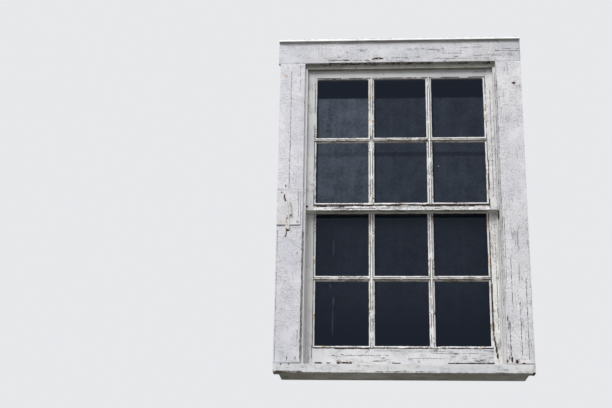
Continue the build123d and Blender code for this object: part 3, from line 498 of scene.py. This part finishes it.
def cast_iron(name, light, dark):
    """Sand-cast iron: pebbled skin with rust in its hollows."""
    t = Surface(name)
    pebble = t.noise(700.0, 4.0, 0.7)
    rust = t.span(t.noise(45.0, 5.0, 0.65), 0.45, 0.65)
    colour = t.mix(t.span(pebble, 0.35, 0.7), rgb(*dark), rgb(*light))
    colour = t.mix(t.times(rust, 0.65), colour, rgb(106, 62, 40))
    height = t.times_plus(pebble, 0.5, t.times(rust, 0.15))
    return t.finish(colour, t.times_plus(rust, 0.3, 0.5), height, Metallic=0.65)


def old_brass(name):
    """Tarnished brass, brighter where hands rub it."""
    t = Surface(name)
    cloud = t.noise(60.0, 5.0, 0.6)
    scratch = t.noise(1500.0, 2.0, 0.6, vector=t.stretched((0.08, 1.0, 1.0)))
    colour = t.mix(t.span(cloud, 0.35, 0.65), rgb(150, 118, 62), rgb(84, 66, 40))
    tarnish = t.span(t.noise(240.0, 4.0, 0.7), 0.62, 0.72)
    colour = t.mix(t.times(tarnish, 0.7), colour, rgb(58, 62, 48))
    height = t.times_plus(scratch, 0.03, t.times(cloud, 0.05))
    return t.finish(colour, t.times_plus(cloud, 0.3, 0.24), height, Metallic=1.0)


def braided_cotton(name):
    """Braided sash cord: crossing strands by the tube's own length and turn, dusty and a little frayed."""
    t = Surface(name)
    uv = t.node("ShaderNodeTexCoord").outputs["UV"]
    u, v = t.node("ShaderNodeSeparateXYZ", Vector=uv).outputs[:2]
    lay = t.times(v, 260.0)
    weave = t.highest([t.math("PINGPONG", t.times_plus(u, strands, lay), 0.5) for strands in (6.0, -6.0)])
    soil = t.span(t.noise(16.0, 4.0, 0.6), 0.4, 0.7)
    # Darker in the grooves between the strands: a painted shade in the braid
    colour = t.mix(t.span(weave, 0.20, 0.46), rgb(92, 82, 66), rgb(190, 178, 152))
    colour = t.mix(t.times(soil, 0.5), colour, rgb(126, 116, 98))
    height = t.times_plus(weave, 1.1, t.times(t.noise(1600.0, 3.0, 0.7), 0.2))
    return t.finish(colour, 0.92, height, Sheen_Weight=0.25)


# Stage, light and camera


def seen_rays(t):
    """1 for rays from the camera, from a mirror and through glass, and 0 for those that carry light."""
    path = t.node("ShaderNodeLightPath").outputs
    return t.highest([path["Is Camera Ray"], path["Is Glossy Ray"], path["Is Transmission Ray"]])


def make_stage():
    """Pale floor under the sill. Seen from below it is clear, because the photograph looks up past it."""
    bpy.ops.mesh.primitive_plane_add(size=60, location=(0, 0, -0.0006))
    floor = bpy.context.object
    floor.name = "floor"
    t = Surface("floor")
    side = t.node("ShaderNodeNewGeometry").outputs["Backfacing"]
    shown = t.times(seen_rays(t), t.math("SUBTRACT", 1.0, side))
    clear = t.node("ShaderNodeBsdfTransparent")
    pale = t.node("ShaderNodeBsdfDiffuse", Color=(0.72, 0.72, 0.72, 1.0))
    both = t.node("ShaderNodeMixShader", _0=shown, _1=clear.outputs[0], _2=pale.outputs[0])
    floor.data.materials.append(t.output(both))


def make_sky():
    """Light that comes mostly from above, behind an even pale background."""
    world = bpy.data.worlds.new("world")
    bpy.context.scene.world = world
    t = Tree(world)
    direction = t.node("ShaderNodeTexCoord").outputs["Generated"]
    up = t.node("ShaderNodeSeparateXYZ", Vector=direction).outputs["Z"]
    light = t.times_plus(t.span(up, -0.25, 0.55), 0.74, 0.33)
    glow = t.node("ShaderNodeBackground", Color=(1.0, 1.0, 1.0, 1.0), Strength=light)
    back = t.node("ShaderNodeBackground", Color=(0.80, 0.81, 0.83, 1.0), Strength=1.0)
    both = t.node("ShaderNodeMixShader", _0=seen_rays(t), _1=glow.outputs[0], _2=back.outputs[0])
    t.node("ShaderNodeOutputWorld", Surface=both.outputs[0])


def add_lamp(name, place, target, size, watts):
    lamp = bpy.data.lights.new(name, "AREA")
    lamp.shape, lamp.size, lamp.energy = "DISK", size, watts
    holder = bpy.data.objects.new(name, lamp)
    holder.location = place
    holder.rotation_euler = (Vector(target) - Vector(place)).to_track_quat("-Z", "Y").to_euler()
    bpy.context.scene.collection.objects.link(holder)


def make_camera():
    """Camera where the photographer stood: on the ground left of the window, looking up at it."""
    camera = bpy.data.objects.new("camera", bpy.data.cameras.new("camera"))
    bpy.context.scene.collection.objects.link(camera)
    camera.data.lens, camera.data.sensor_width = 65.72, 36.0
    camera.data.clip_end = 200
    place = (-0.09835, -4.7253, -0.83877)
    right = (0.997862, 0.063190, 0.016673)
    upward = (0.004534, -0.321439, 0.946919)
    backward = (0.065195, -0.944819, -0.321039)
    turn = Matrix((right, upward, backward)).transposed().to_4x4()
    camera.matrix_world = Matrix.Translation(place) @ turn
    bpy.context.scene.camera = camera
    bpy.context.scene.view_settings.view_transform = "Standard"


# Shapes laid over the CAD solids


def welded(node):
    """Copy of a CAD node's mesh with its seams joined."""
    work = bmesh.new()
    work.from_mesh(nodes[node].data)
    bmesh.ops.remove_doubles(work, verts=work.verts, dist=1e-6)
    return work


def cut_along(work, axis, step):
    """Cut a mesh across one axis at even steps, so that its edges can wander."""
    values = [v.co[axis] for v in work.verts]
    low, high = min(values), max(values)
    count = max(1, round((high - low) / step))
    normal = Vector([1.0 if i == axis else 0.0 for i in range(3)])
    for k in range(1, count):
        place = normal * (low + (high - low) * k / count)
        bmesh.ops.bisect_plane(work, geom=work.verts[:] + work.edges[:] + work.faces[:], dist=1e-6,
                               plane_co=place, plane_no=normal)


def finish_piece(work, name, body, material, smooth=35.0):
    """Object from a mesh, shaded smooth up to an angle, that rides a body where one is named."""
    mesh = bpy.data.meshes.new(name)
    work.to_mesh(mesh)
    work.free()
    mesh.polygons.foreach_set("use_smooth", [True] * len(mesh.polygons))
    mesh.set_sharp_from_angle(angle=smooth * pi / 180)
    mesh.materials.append(material)
    piece = bpy.data.objects.new(name, mesh)
    bpy.context.scene.collection.objects.link(piece)
    if body:
        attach(piece, body)
    return piece


def paint_node(name, material):
    """Give a CAD node its material."""
    data = nodes[name].data
    data.materials.clear()
    data.materials.append(material)


def worn(node, body, material, axes, bite, step=11.0, front=None):
    """Piece that stands for a CAD node, its arrises nibbled away as far in as the depth front."""
    work = welded(node)
    for axis in axes:
        cut_along(work, "xyz".index(axis), step * MM)
    work.normal_update()
    moves = []
    for v in work.verts:
        if not v.link_faces or (front is not None and v.co.y > front * MM):
            continue
        # A point on a flat moves a tenth as far as one on an arris
        first = v.link_faces[0].normal
        flat = all(face.normal.dot(first) > 0.98 for face in v.link_faces)
        ragged = max(0.0, noise.fractal(v.co * 40.0, 1.0, 2.1, 4) + 0.10)
        nick = 0.5 + 2.0 * max(0.0, noise.noise(v.co * 8.0 + Vector((7.0, 3.0, 1.0))))
        moves.append((v, v.normal * (bite * MM * ragged * nick * (0.1 if flat else 1.0))))
    for v, move in moves:
        v.co -= move
    piece = finish_piece(work, f"worn_{node}", body, material, 30.0)
    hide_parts(node)


def flakes(name, body, material, beds, seed):
    """Curled chips of paint, each held to the wood by one side.

    A bed is its range in x, its range in z, a depth, a count and a size.
    """
    rng = random.Random(seed)
    work = bmesh.new()
    for x0, x1, z0, z1, y, count, size in beds:
        for _ in range(count):
            cx, cz = rng.uniform(x0, x1), rng.uniform(z0, z1)
            wide, tall = size * rng.uniform(0.5, 1.3), size * rng.uniform(0.35, 0.8)
            lift = rng.uniform(0.15, 0.45) * tall
            turn = rng.uniform(-0.5, 0.5) + (pi if rng.random() < 0.35 else 0.0)
            # The sheet narrows and curls away from the side that holds it
            rows = []
            for j in range(4):
                share = j / 3
                row = []
                for i in range(5):
                    u = (i / 4 - 0.5) * wide * (1.0 - 0.25 * share + rng.uniform(-0.06, 0.06))
                    w = tall * share * (1.0 + rng.uniform(-0.1, 0.1))
                    out = lift * share ** 1.7 + rng.uniform(0, 0.1) * share
                    place = Vector((cx + u * cos(turn) - w * sin(turn), y + 0.25 - out,
                                    cz + u * sin(turn) + w * cos(turn)))
                    row.append(work.verts.new(place * MM))
                rows.append(row)
            for j in range(3):
                for i in range(4):
                    work.faces.new((rows[j][i], rows[j][i + 1], rows[j + 1][i + 1], rows[j + 1][i]))
    bmesh.ops.solidify(work, geom=work.faces[:], thickness=0.35 * MM)
    finish_piece(work, name, body, material)


def stack(work, place, outline, layers):
    """Solid through copies of an outline. A layer is its scale in x, its scale in y and its level."""
    count = len(outline)
    loops = []
    for wide, tall, level in layers:
        loops.append([work.verts.new(place @ (Vector((x * wide, y * tall, level)) * MM))
                      for x, y in outline])
    for a, b in zip(loops, loops[1:]):
        for k in range(count):
            work.faces.new((a[k], a[(k + 1) % count], b[(k + 1) % count], b[k]))
    work.faces.new(loops[-1])
    work.faces.new(list(reversed(loops[0])))


def screw_heads(name, body, material, places, radius):
    """Slotted screw heads, let in nearly flush: a disc with a raised half at each side of the slot.

    A place is a centre and an outward direction.
    """
    rng = random.Random(len(places))
    work = bmesh.new()
    slot, sides, steps = 0.22 * radius, 20, 10
    rim = [2 * pi * k / sides for k in range(sides)]
    disc = [(radius * cos(a), radius * sin(a)) for a in rim]
    arc = [pi * (0.06 + 0.88 * k / steps) for k in range(steps + 1)]
    halves = [[(radius * cos(a), hand * max(slot, radius * sin(a))) for a in arc] for hand in (1, -1)]
    for centre, outward in places:
        turn = Vector(outward).to_track_quat("Z", "Y").to_matrix().to_4x4()
        spin = Matrix.Rotation(rng.uniform(0, pi), 4, "Z")
        place = Matrix.Translation(Vector(centre) * MM) @ turn @ spin
        stack(work, place, disc, ((1.0, 1.0, -0.5), (1.0, 1.0, -0.1), (0.98, 0.98, -0.1)))
        for half in halves:
            stack(work, place, half, ((1.0, 1.0, -0.3), (1.0, 1.0, 0.175), (0.82, 1.0, 0.35)))
    bmesh.ops.recalc_face_normals(work, faces=work.faces[:])
    finish_piece(work, name, body, material)


def tube(name, body, material, points, radius, closed=False, sides=12):
    """Cord along a line of points in metres, with its turn and its length kept as UV."""
    work = bmesh.new()
    uv = work.loops.layers.uv.new("UVMap")
    count = len(points)
    rings, runs, run, side = [], [], 0.0, None
    for k, point in enumerate(points):
        ahead = points[(k + 1) % count] if closed or k + 1 < count else point
        behind = points[k - 1] if closed or k else point
        tangent = (ahead - behind).normalized()
        if side is None:
            side = tangent.orthogonal().normalized()
        side = (side - tangent * side.dot(tangent)).normalized()
        other = tangent.cross(side)
        if k:
            run += (point - points[k - 1]).length
        runs.append(run)
        thick = radius * (1.0 + 0.035 * noise.noise(point * 60.0))
        rings.append([work.verts.new(point + (side * cos(a) + other * sin(a)) * thick)
                      for a in (2 * pi * i / sides for i in range(sides))])
    for k in range(count if closed else count - 1):
        a, b = rings[k], rings[(k + 1) % count]
        length = (points[(k + 1) % count] - points[k]).length
        for i in range(sides):
            face = work.faces.new((a[i], a[(i + 1) % sides], b[(i + 1) % sides], b[i]))
            for loop, (u, v) in zip(face.loops, ((i, 0.0), (i + 1, 0.0), (i + 1, length), (i, length))):
                loop[uv].uv = (u / sides, runs[k] + v)
    if not closed:
        work.faces.new(list(reversed(rings[0])))
        work.faces.new(rings[-1])
    return finish_piece(work, name, body, material, 60.0)


def straight(start, end, step=0.006):
    """Points on a straight run, in metres."""
    count = max(2, round((end - start).length / step))
    return [start.lerp(end, k / count) for k in range(count + 1)]


def knot(name, body, material, middle, steps=72):
    """Overhand knot drawn up tight, about a middle in metres."""
    turns = [2 * pi * k / steps for k in range(steps)]
    points = [middle + Vector((cos(a) - 2 * cos(2 * a), -sin(3 * a), sin(a) + 2 * sin(2 * a))) * KNOT_SIZE
              for a in turns]
    tube(name, body, material, points, KNOT_CORD_RADIUS, closed=True)


def hang(sash, side, hand, depth, knot_z, weight_top, material, steps=24):
    """One sash cord, in metres: its bend over the pulley, and a run and a knot at either end."""
    name = f"{sash}_{side}"
    near, far = hand * (PULLEY_X - PULLEY_RADIUS), hand * (PULLEY_X + PULLEY_RADIUS)
    turns = [pi * k / steps for k in range(steps + 1)]
    bend = tube(f"{name}_cord_bend", "frame", material, [
        Vector((hand * (PULLEY_X - PULLEY_RADIUS * cos(a)), depth, PULLEY_Z + PULLEY_RADIUS * sin(a)))
        for a in turns], CORD_RADIUS)
    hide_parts(f"{name}_cord")
    knot(f"{name}_cord_knot", f"{sash}_sash", material, Vector((hand * KNOT_X, depth, knot_z)))
    knot(f"{name}_weight_knot", f"{name}_weight", material,
         Vector((far, depth, weight_top + EYE_KNOT_RISE)))
    for part, x, foot, body in (("cord_run", near, knot_z, f"{sash}_sash"),
                                ("weight_run", far, weight_top - EYE_DEPTH, f"{name}_weight")):
        top, end = Vector((x, depth, PULLEY_Z)), Vector((x, depth, foot))
        run = tube(f"{name}_{part}", None, material, straight(top, end), CORD_RADIUS)
        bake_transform(run)


make_stage()
make_sky()
make_camera()
add_lamp("sky_lamp", place=(-4.2, -10.8, 10.4), target=(0, 0, 0.8), size=6.5, watts=1450.0)

# Frame, outdoor side
left_paint = old_paint(
    "left_casing_paint", "z", (213, 212, 217), -0.04, checks=0.45, gape=0.8, crackled=0.32, netted=0.13,
    ripple=0.45, seed=1.0, grime=0.08, spots=[(-457, 530, 4, 5)],
    holes=[(-437, 1252, 3, 3.5), (-502, 636, 7, 4.5), (-508, 622, 2.4, 10), (-512, 610, 3, 5),
           (-515, 845, 2.5, 7), (-458, 66, 1.5, 9), (-494, 66, 1.5, 9)],
    lines=[("z", -500, 830, 1412, 1.5), ("z", -459, 1300, 1442, 1.0), ("z", -437.5, 48, 640, 2.4),
           ("z", -450, 135, 190, 2.0), ("z", -546, 50, 640, 1.0)],
    stains_and_shadows=[((-528, None, 1380), (-519, None, 1391), 2, 0.9, (196, 148, 96)),
            ((-468, None, 500), (-446, None, 545), 8, 0.3, (150, 148, 144))])
right_paint = old_paint(
    "right_casing_paint", "z", (218, 217, 220), -0.05, checks=0.66, gape=1.2, crackled=0.38, netted=0.16,
    ripple=0.3, seed=4.0, grime=0.08,
    holes=[(518, 1338, 8, 6), (438, 58, 4, 6), (448, 72, 2, 10), (458, 64, 4, 14), (478, 55, 7, 8),
           (506, 48, 6.5, 3.5), (521, 1326, 2.5, 2.5), (446, 240, 2.5, 12)],
    lines=[("z", 455, 75, 235, 3.0), ("z", 446, 185, 260, 2.6), ("z", 470, 300, 520, 1.6),
           ("z", 500, 80, 330, 1.8), ("z", 530, 60, 420, 1.6), ("z", 448, 380, 700, 1.6),
           ("z", 440.5, 300, 1440, 1.4)],
    zones=[((None, None, 48), (None, None, 640), 160, 0.06),
           ((440, None, 640), (480, None, 1340), 16, 0.07)])
head_paint = old_paint(
    "head_casing_paint", "x", (207, 207, 211), -0.035, checks=0.8, gape=1.1, crackled=0.36, netted=0.12,
    ripple=0.25, seed=2.5, grime=0.10,
    holes=[(-101, 1471, 19, 5.5), (-84, 1469, 9, 4), (-122, 1467, 9, 3), (-247, 1463, 16, 3.2),
           (282, 1505, 2.5, 2.5), (85, 1475, 10, 1.6), (260, 1475, 9, 1.6)],
    lines=[("x", 1502, 430, 553, 1.8), ("x", 1512, 470, 553, 1.5), ("x", 1481, 330, 420, 1.6),
           ("x", 1516, 20, 120, 1.6), ("x", 1491, 190, 290, 1.4), ("x", 1466, 150, 420, 1.6),
           ("x", 1472, -40, 40, 1.6), ("x", 1463, -330, -140, 2.2)],
    slots=[("x", 1450, -330, 150, 0.8), ("x", 1450, 230, 440, 0.6)],
    # The top of the head casing is darker: a painted shadow under the drip cap
    stains_and_shadows=[((None, None, 1541), (None, None, None), 6, 0.45, (112, 110, 104))],
    zones=[((-165, None, 1446), (16, None, 1460), 5, 0.20),
           ((20, None, 1446), (540, None, 1530), 30, 0.04)])
cap_paint = old_paint(
    "drip_cap_paint", "x", (246, 246, 247), -0.04, checks=0.4, seed=7.5, grime=0.05,
    slots=[("x", 1567.4, -556, 549, 1.4)],
    zones=[((None, None, 1565.5), (None, None, None), 1.2, 0.10)])
sill_paint = old_paint(
    "sill_paint", "x", (210, 210, 211), -0.01, checks=0.8, gape=1.3, seed=3.3, under=(136, 132, 110),
    holes=[(-516, 34.5, 4, 3), (-482, 34.5, 3.5, 2.5), (-203, 56, 4, 3), (543, 1, 5, 2.5)],
    zones=[((-548, -60, -2), (-425, -50, 6), 2.5, 0.24), ((None, -60, -2), (None, -50, 2), 1.5, 0.08),
           ((150, -60, 0), (None, -50, 4), 3, 0.08)],
    slots=[("x", 3.0, -550, -490, 2.2), ("x", 3.0, -490, -425, 0.9)],
    lines=[("x", 3.5, -120, 120, 1.8)])
block_paint = old_paint(
    "hinge_block_paint", "z", (211, 210, 215), -0.02, checks=0.5, gape=0.9, crackled=0.32, netted=0.1,
    ripple=0.35, seed=6.1,
    holes=[(-519, 792, 3.2, 11), (-514, 776, 4.5, 7), (-508, 770, 5, 3), (-489, 722, 4.5, 6),
           (-492, 711, 3.5, 4), (-459, 673, 6, 2.5), (-532, 812, 2.5, 4)],
    lines=[("z", -455.5, 690, 820, 1.3)],
    stains_and_shadows=[((-510, None, 660), (-502, None, 728), 2, 0.95, (204, 152, 106)),
            ((-545, None, 662), (-515, None, 680), 6, 0.35, (196, 176, 140))])
worn("left_casing", "frame", left_paint, "z", 1.1)
worn("right_casing", "frame", right_paint, "z", 1.8)
worn("head_casing", "frame", head_paint, "x", 2.4)
worn("drip_cap", "frame", cap_paint, "x", 2.2)
worn("sill", "frame", sill_paint, "x", 1.6, front=SILL_PAINT_END)
worn("hinge_block", "frame", block_paint, "z", 0.8)
# The left blind stop's tone is lighter than the other stops': painted light on a face in the casing's
# shade
paint_node("left_blind_stop", old_paint(
    "left_blind_stop_paint", "z", (232, 232, 232), -0.03, checks=0.7, seed=8.2, grime=0.12,
    lines=[("z", -434.5, 60, 640, 1.6)]))
paint_node("right_blind_stop", old_paint(
    "right_blind_stop_paint", "z", (206, 206, 205), -0.01, checks=0.8, seed=8.9, grime=0.2,
    holes=[(428, 712, 4, 24)], lines=[("z", 434, 300, 1400, 1.3)]))
# The head blind stop has a darker tone and a dark olive under colour: a painted shade under the head
# casing
paint_node("head_blind_stop", old_paint(
    "head_blind_stop_paint", "x", (176, 175, 168), 0.0, checks=0.9, seed=9.0, grime=0.3,
    under=(84, 80, 56)))
paint_node("shutter_hinge", rusty_paint("shutter_hinge_paint"))

# Frame, inside
upright_paint = indoor_paint("inside_upright_paint", "z", (196, 192, 178), 1.2)
track_paint = indoor_paint("track_paint", "z", (214, 214, 213), 5.2)
level_paint = indoor_paint("inside_level_paint", "x", (198, 194, 181), 2.2)
upright_pine = bare_wood("upright_pine", "z", 0.4)
for side in ("left", "right"):
    for part in ("jamb", "pocket_cover", "parting_bead"):
        paint_node(f"{side}_{part}", track_paint)
    paint_node(f"{side}_inside_stop", upright_paint)
    for part in ("box_back", "box_lining"):
        paint_node(f"{side}_{part}", upright_pine)
for part in ("head_parting_bead", "head_inside_stop"):
    paint_node(part, level_paint)
paint_node("head_jamb", bare_wood("level_pine", "x", 1.9))

# Stiles and glazing bars
# Each stile has its own tone, lighter or darker for how light falls on that side: painted light and shade
stile_marks = {
    ("upper", "left"): dict(
        tone=(194, 194, 196), wear=-0.03, checks=0.6, grime=0.10, holes=[(-424, 762, 8, 5)]),
    ("upper", "right"): dict(
        tone=(219, 218, 218), wear=-0.03, checks=0.9, gape=1.2, crackled=0.6, netted=0.1, grime=0.10,
        slots=[("z", 394.5, 835, 985, 2.0), ("z", 392, 1335, 1368, 2.4), ("z", 394.5, 745, 800, 1.8)],
        lines=[("z", 412, 800, 1330, 1.5), ("z", 426, 900, 1200, 1.2)]),
    ("lower", "left"): dict(
        tone=(208, 207, 208), wear=-0.03, checks=0.6, grime=0.08, slots=[("z", -393, 78, 146, 1.7)]),
    ("lower", "right"): dict(
        tone=(234, 233, 232), wear=-0.03, checks=0.9, gape=1.3, crackled=0.6, netted=0.1, grime=0.10,
        zones=[((350, None, 55), (None, None, 360), 40, 0.04)],
        holes=[(398, 170, 3, 18), (401, 150, 3.6, 14), (404.5, 126, 4.2, 16), (408, 98, 4.2, 14)],
        slots=[("z", 395, 185, 420, 2.2), ("z", 394, 420, 660, 1.2)],
        lines=[("z", 418, 260, 700, 1.6), ("z", 426, 80, 300, 1.6)]),
}
for sash, deep, cross_wear in (("upper", UPPER_PAINT_END, 0.15), ("lower", LOWER_PAINT_END, 0.07)):
    body = f"{sash}_sash"
    for side in ("left", "right"):
        stile = old_paint(f"{sash}_{side}_stile_paint", "z", seed=11.0 + deep, indoors=deep,
                          **stile_marks[sash, side])
        worn(f"{sash}_{side}_stile", body, stile, "z", 1.1, front=deep)
    bar = old_paint(
        f"{sash}_upright_bar_paint", "z", (232, 231, 231), 0.0, checks=0.8, gape=1.1, seed=12.0 + deep,
        grime=0.08, indoors=deep, zones=[((-150, None, 1055), (-110, None, 1105), 8, 0.2)])
    cross = old_paint(
        f"{sash}_cross_bar_paint", "x", (202, 200, 198), cross_wear, checks=1.0, gape=1.3,
        seed=13.0 + deep, grime=0.3, indoors=deep)
    for number in (1, 2):
        worn(f"{sash}_upright_bar_{number}", body, bar, "z", 1.2, front=deep)
    worn(f"{sash}_cross_bars", body, cross, "x", 1.6, front=deep)

# Rails
top_rail = old_paint(
    "upper_top_rail_paint", "x", (197, 197, 198), -0.04, checks=0.4, crackled=0.2, seed=21.0,
    indoors=UPPER_PAINT_END)
worn("upper_top_rail", "upper_sash", top_rail, "x", 0.9, front=UPPER_PAINT_END)
upper_meeting = old_paint(
    "upper_meeting_rail_paint", "x", (234, 233, 234), 0.03, checks=1.0, gape=1.6, crackled=0.8, seed=23.0,
    grime=0.14, indoors=56.0,
    slots=[("x", 768.0, -440, 440, 4.4), ("x", 761, -440, -250, 2.0), ("x", 762, 90, 330, 2.4)],
    lines=[("x", 753, -360, 300, 2.0)],
    holes=[(-427, 763, 9, 3), (-370, 762, 11, 3), (-289, 753, 9, 1.8), (-239, 750, 7, 1.6),
           (161, 752, 14, 2.4), (225, 763, 8, 3), (257, 763, 8, 3), (-20, 764, 16, 2)],
    zones=[((None, None, 764), (None, None, None), 3, 0.12),
           ((None, None, None), (None, None, 748), 3, 0.08)])
worn("upper_meeting_rail", "upper_sash", upper_meeting, "x", 1.8, front=UPPER_PAINT_END)
bottom_rail = old_paint(
    "lower_bottom_rail_paint", "x", (211, 211, 213), -0.01, checks=1.0, gape=1.4, ripple=0.3, seed=25.0,
    grime=0.08, indoors=LOWER_PAINT_END,
    slots=[("x", 64, -384, -345, 2.8), ("x", 64, -332, -311, 2.2), ("x", 65, -287, -216, 4.2),
           ("x", 64, -45, -6, 2.6), ("x", 64.5, 192, 402, 2.8), ("x", 129, -392, 392, 1.6),
           ("x", 127.5, -300, -140, 2.6), ("x", 130, 170, 392, 2.4)],
    lines=[("x", 118, -120, 200, 1.6), ("x", 108, 120, 330, 1.4), ("x", 96, -260, -90, 1.4),
           ("x", 84, 20, 190, 1.2)],
    holes=[(-203, 56, 4, 3), (-188, 51.5, 3, 2), (-300, 97, 8, 1.6), (-262, 101, 7, 1.4)],
    zones=[((None, None, 128), (None, None, None), 2.5, 0.12)],
    stains_and_shadows=[((-290, None, 67), (-214, None, 75), 2, 0.7, (226, 206, 200))])
worn("lower_bottom_rail", "lower_sash", bottom_rail, "x", 1.5, front=LOWER_PAINT_END)
paint_node("lower_meeting_rail", old_paint(
    "lower_meeting_rail_paint", "x", (200, 199, 196), 0.0, seed=27.0, indoors=84.0))

# Panes and putty
paint_node("upper_panes", old_glass(
    "upper_glass", UPPER_PANE_MIDDLE,
    # The upper films are dust and painted reflection: none above a level near the top of the upper row,
    # which stays dark, and a darker band across the lower row
    [((-390, None, 1095), (-132, None, 1292), 5, 0.23), ((-132, None, 1095), (390, None, 1292), 5, 0.075),
     ((-390, None, 770), (-132, None, 1095), 10, 0.18), ((-132, None, 770), (390, None, 1095), 10, 0.085),
     ((-390, None, 1004), (390, None, 1026), 3, -0.05)],
    1.7, [(171, 956, 2.6, 2.6, 1.0)]))
paint_node("lower_panes", old_glass(
    "lower_glass", LOWER_PANE_MIDDLE, [((-390, None, 300), (390, None, 750), 140, 0.035)],
    5.1, [(-302, 585, 3.5, 46, 0.10), (-301, 340, 4.0, 20, 0.14), (-304, 250, 3.0, 60, 0.10),
          (-316, 410, 5, 8, 0.12)]))
upper_putty = old_putty("upper_putty_skin", UPPER_PANE_MIDDLE, 2.0, -0.02, [
    ((-150, None, 1100), (-131, None, 1400), 3, 0.10), ((378, None, 770), (None, None, 1400), 4, 0.05)])
worn("upper_putty", "upper_sash", upper_putty, "xz", 1.6, step=9.0)
lower_putty = old_putty("lower_putty_skin", LOWER_PANE_MIDDLE, 4.0, 0.0, [
    ((200, None, 130), (None, None, 760), 20, 0.07), ((-150, None, 130), (-131, None, 760), 4, 0.05)])
worn("lower_putty", "lower_sash", lower_putty, "xz", 1.8, step=9.0)

# Hardware
weight_iron = cast_iron("weight_iron", (74, 66, 60), (44, 38, 35))
pulley_iron = cast_iron("pulley_iron", (96, 88, 80), (58, 52, 48))
brass = old_brass("lock_brass")
for name in nodes:
    if name.endswith("_weight"):
        paint_node(name, weight_iron)
    elif name.endswith("_pulley") or name == "pulley_housings":
        paint_node(name, pulley_iron)
for name in ("lock_base", "lock_lever", "lock_keeper", "sash_lifts"):
    paint_node(name, brass)
screw_steel = cast_iron("screw_steel", (120, 112, 102), (74, 66, 58))
pulley_screws = [((hand * 437.4, track / MM, PULLEY_Z / MM + up), (-hand, 0, 0))
                 for hand in (1, -1) for track in (UPPER_TRACK, LOWER_TRACK) for up in (42, -42)]
screw_heads("pulley_screws", "frame", screw_steel, pulley_screws, 3.4)
lock_screws = [((x, 85.35, 783.9), (0, 0, 1)) for x in (-24, 24)]
screw_heads("lock_screws", "lower_sash", brass, lock_screws, 3.2)
lift_screws = [((x + dx, 110.3, 102.0), (0, 1, 0)) for x in (-215, 215) for dx in (-13, 13)]
screw_heads("lift_screws", "lower_sash", brass, lift_screws, 3.0)

# Cords
cotton = braided_cotton("sash_cord")
for hand, side in ((-1, "left"), (1, "right")):
    hang("upper", side, hand, UPPER_TRACK, knot_z=1.2144, weight_top=0.667, material=cotton)
    hang("lower", side, hand, LOWER_TRACK, knot_z=0.5588, weight_top=1.2601, material=cotton)

# Curled paint
chip = old_paint("paint_chip", "x", (214, 214, 214), -0.1, checks=0.2, seed=31.0)
flakes("frame_flakes", "frame", chip, [
    (-160, 8, 1452, 1476, CASING_FACE, 26, 7), (-540, 530, 1450, 1456, CASING_FACE, 26, 5),
    (-548, -425, 2, 9, NOSE_FACE, 20, 5), (430, 545, 1, 8, NOSE_FACE, 10, 4),
    (440, 515, 50, 74, CASING_FACE, 16, 6), (445, 545, 90, 420, CASING_FACE, 26, 5),
    (-525, -508, 762, 800, BLOCK_FACE, 9, 5), (-500, -484, 706, 730, BLOCK_FACE, 6, 4),
    (-465, -452, 668, 676, BLOCK_FACE, 3, 6)], 5)
flakes("upper_sash_flakes", "upper_sash", chip, [
    (-437, -415, 752, 770, UPPER_FACE, 6, 6), (-382, -366, 758, 771, UPPER_FACE, 4, 5),
    (-125, 420, 748, 769, UPPER_FACE, 22, 5), (396, 430, 800, 1400, UPPER_FACE, 24, 5)], 6)
flakes("lower_sash_flakes", "lower_sash", chip, [
    (-283, -220, 66, 72, LOWER_FACE, 9, 8), (199, 399, 67, 74, LOWER_FACE, 16, 6),
    (-380, 380, 118, 129, LOWER_FACE, 26, 5), (392, 430, 90, 700, LOWER_FACE, 30, 6),
    (-430, -396, 80, 300, LOWER_FACE, 10, 5)], 7)
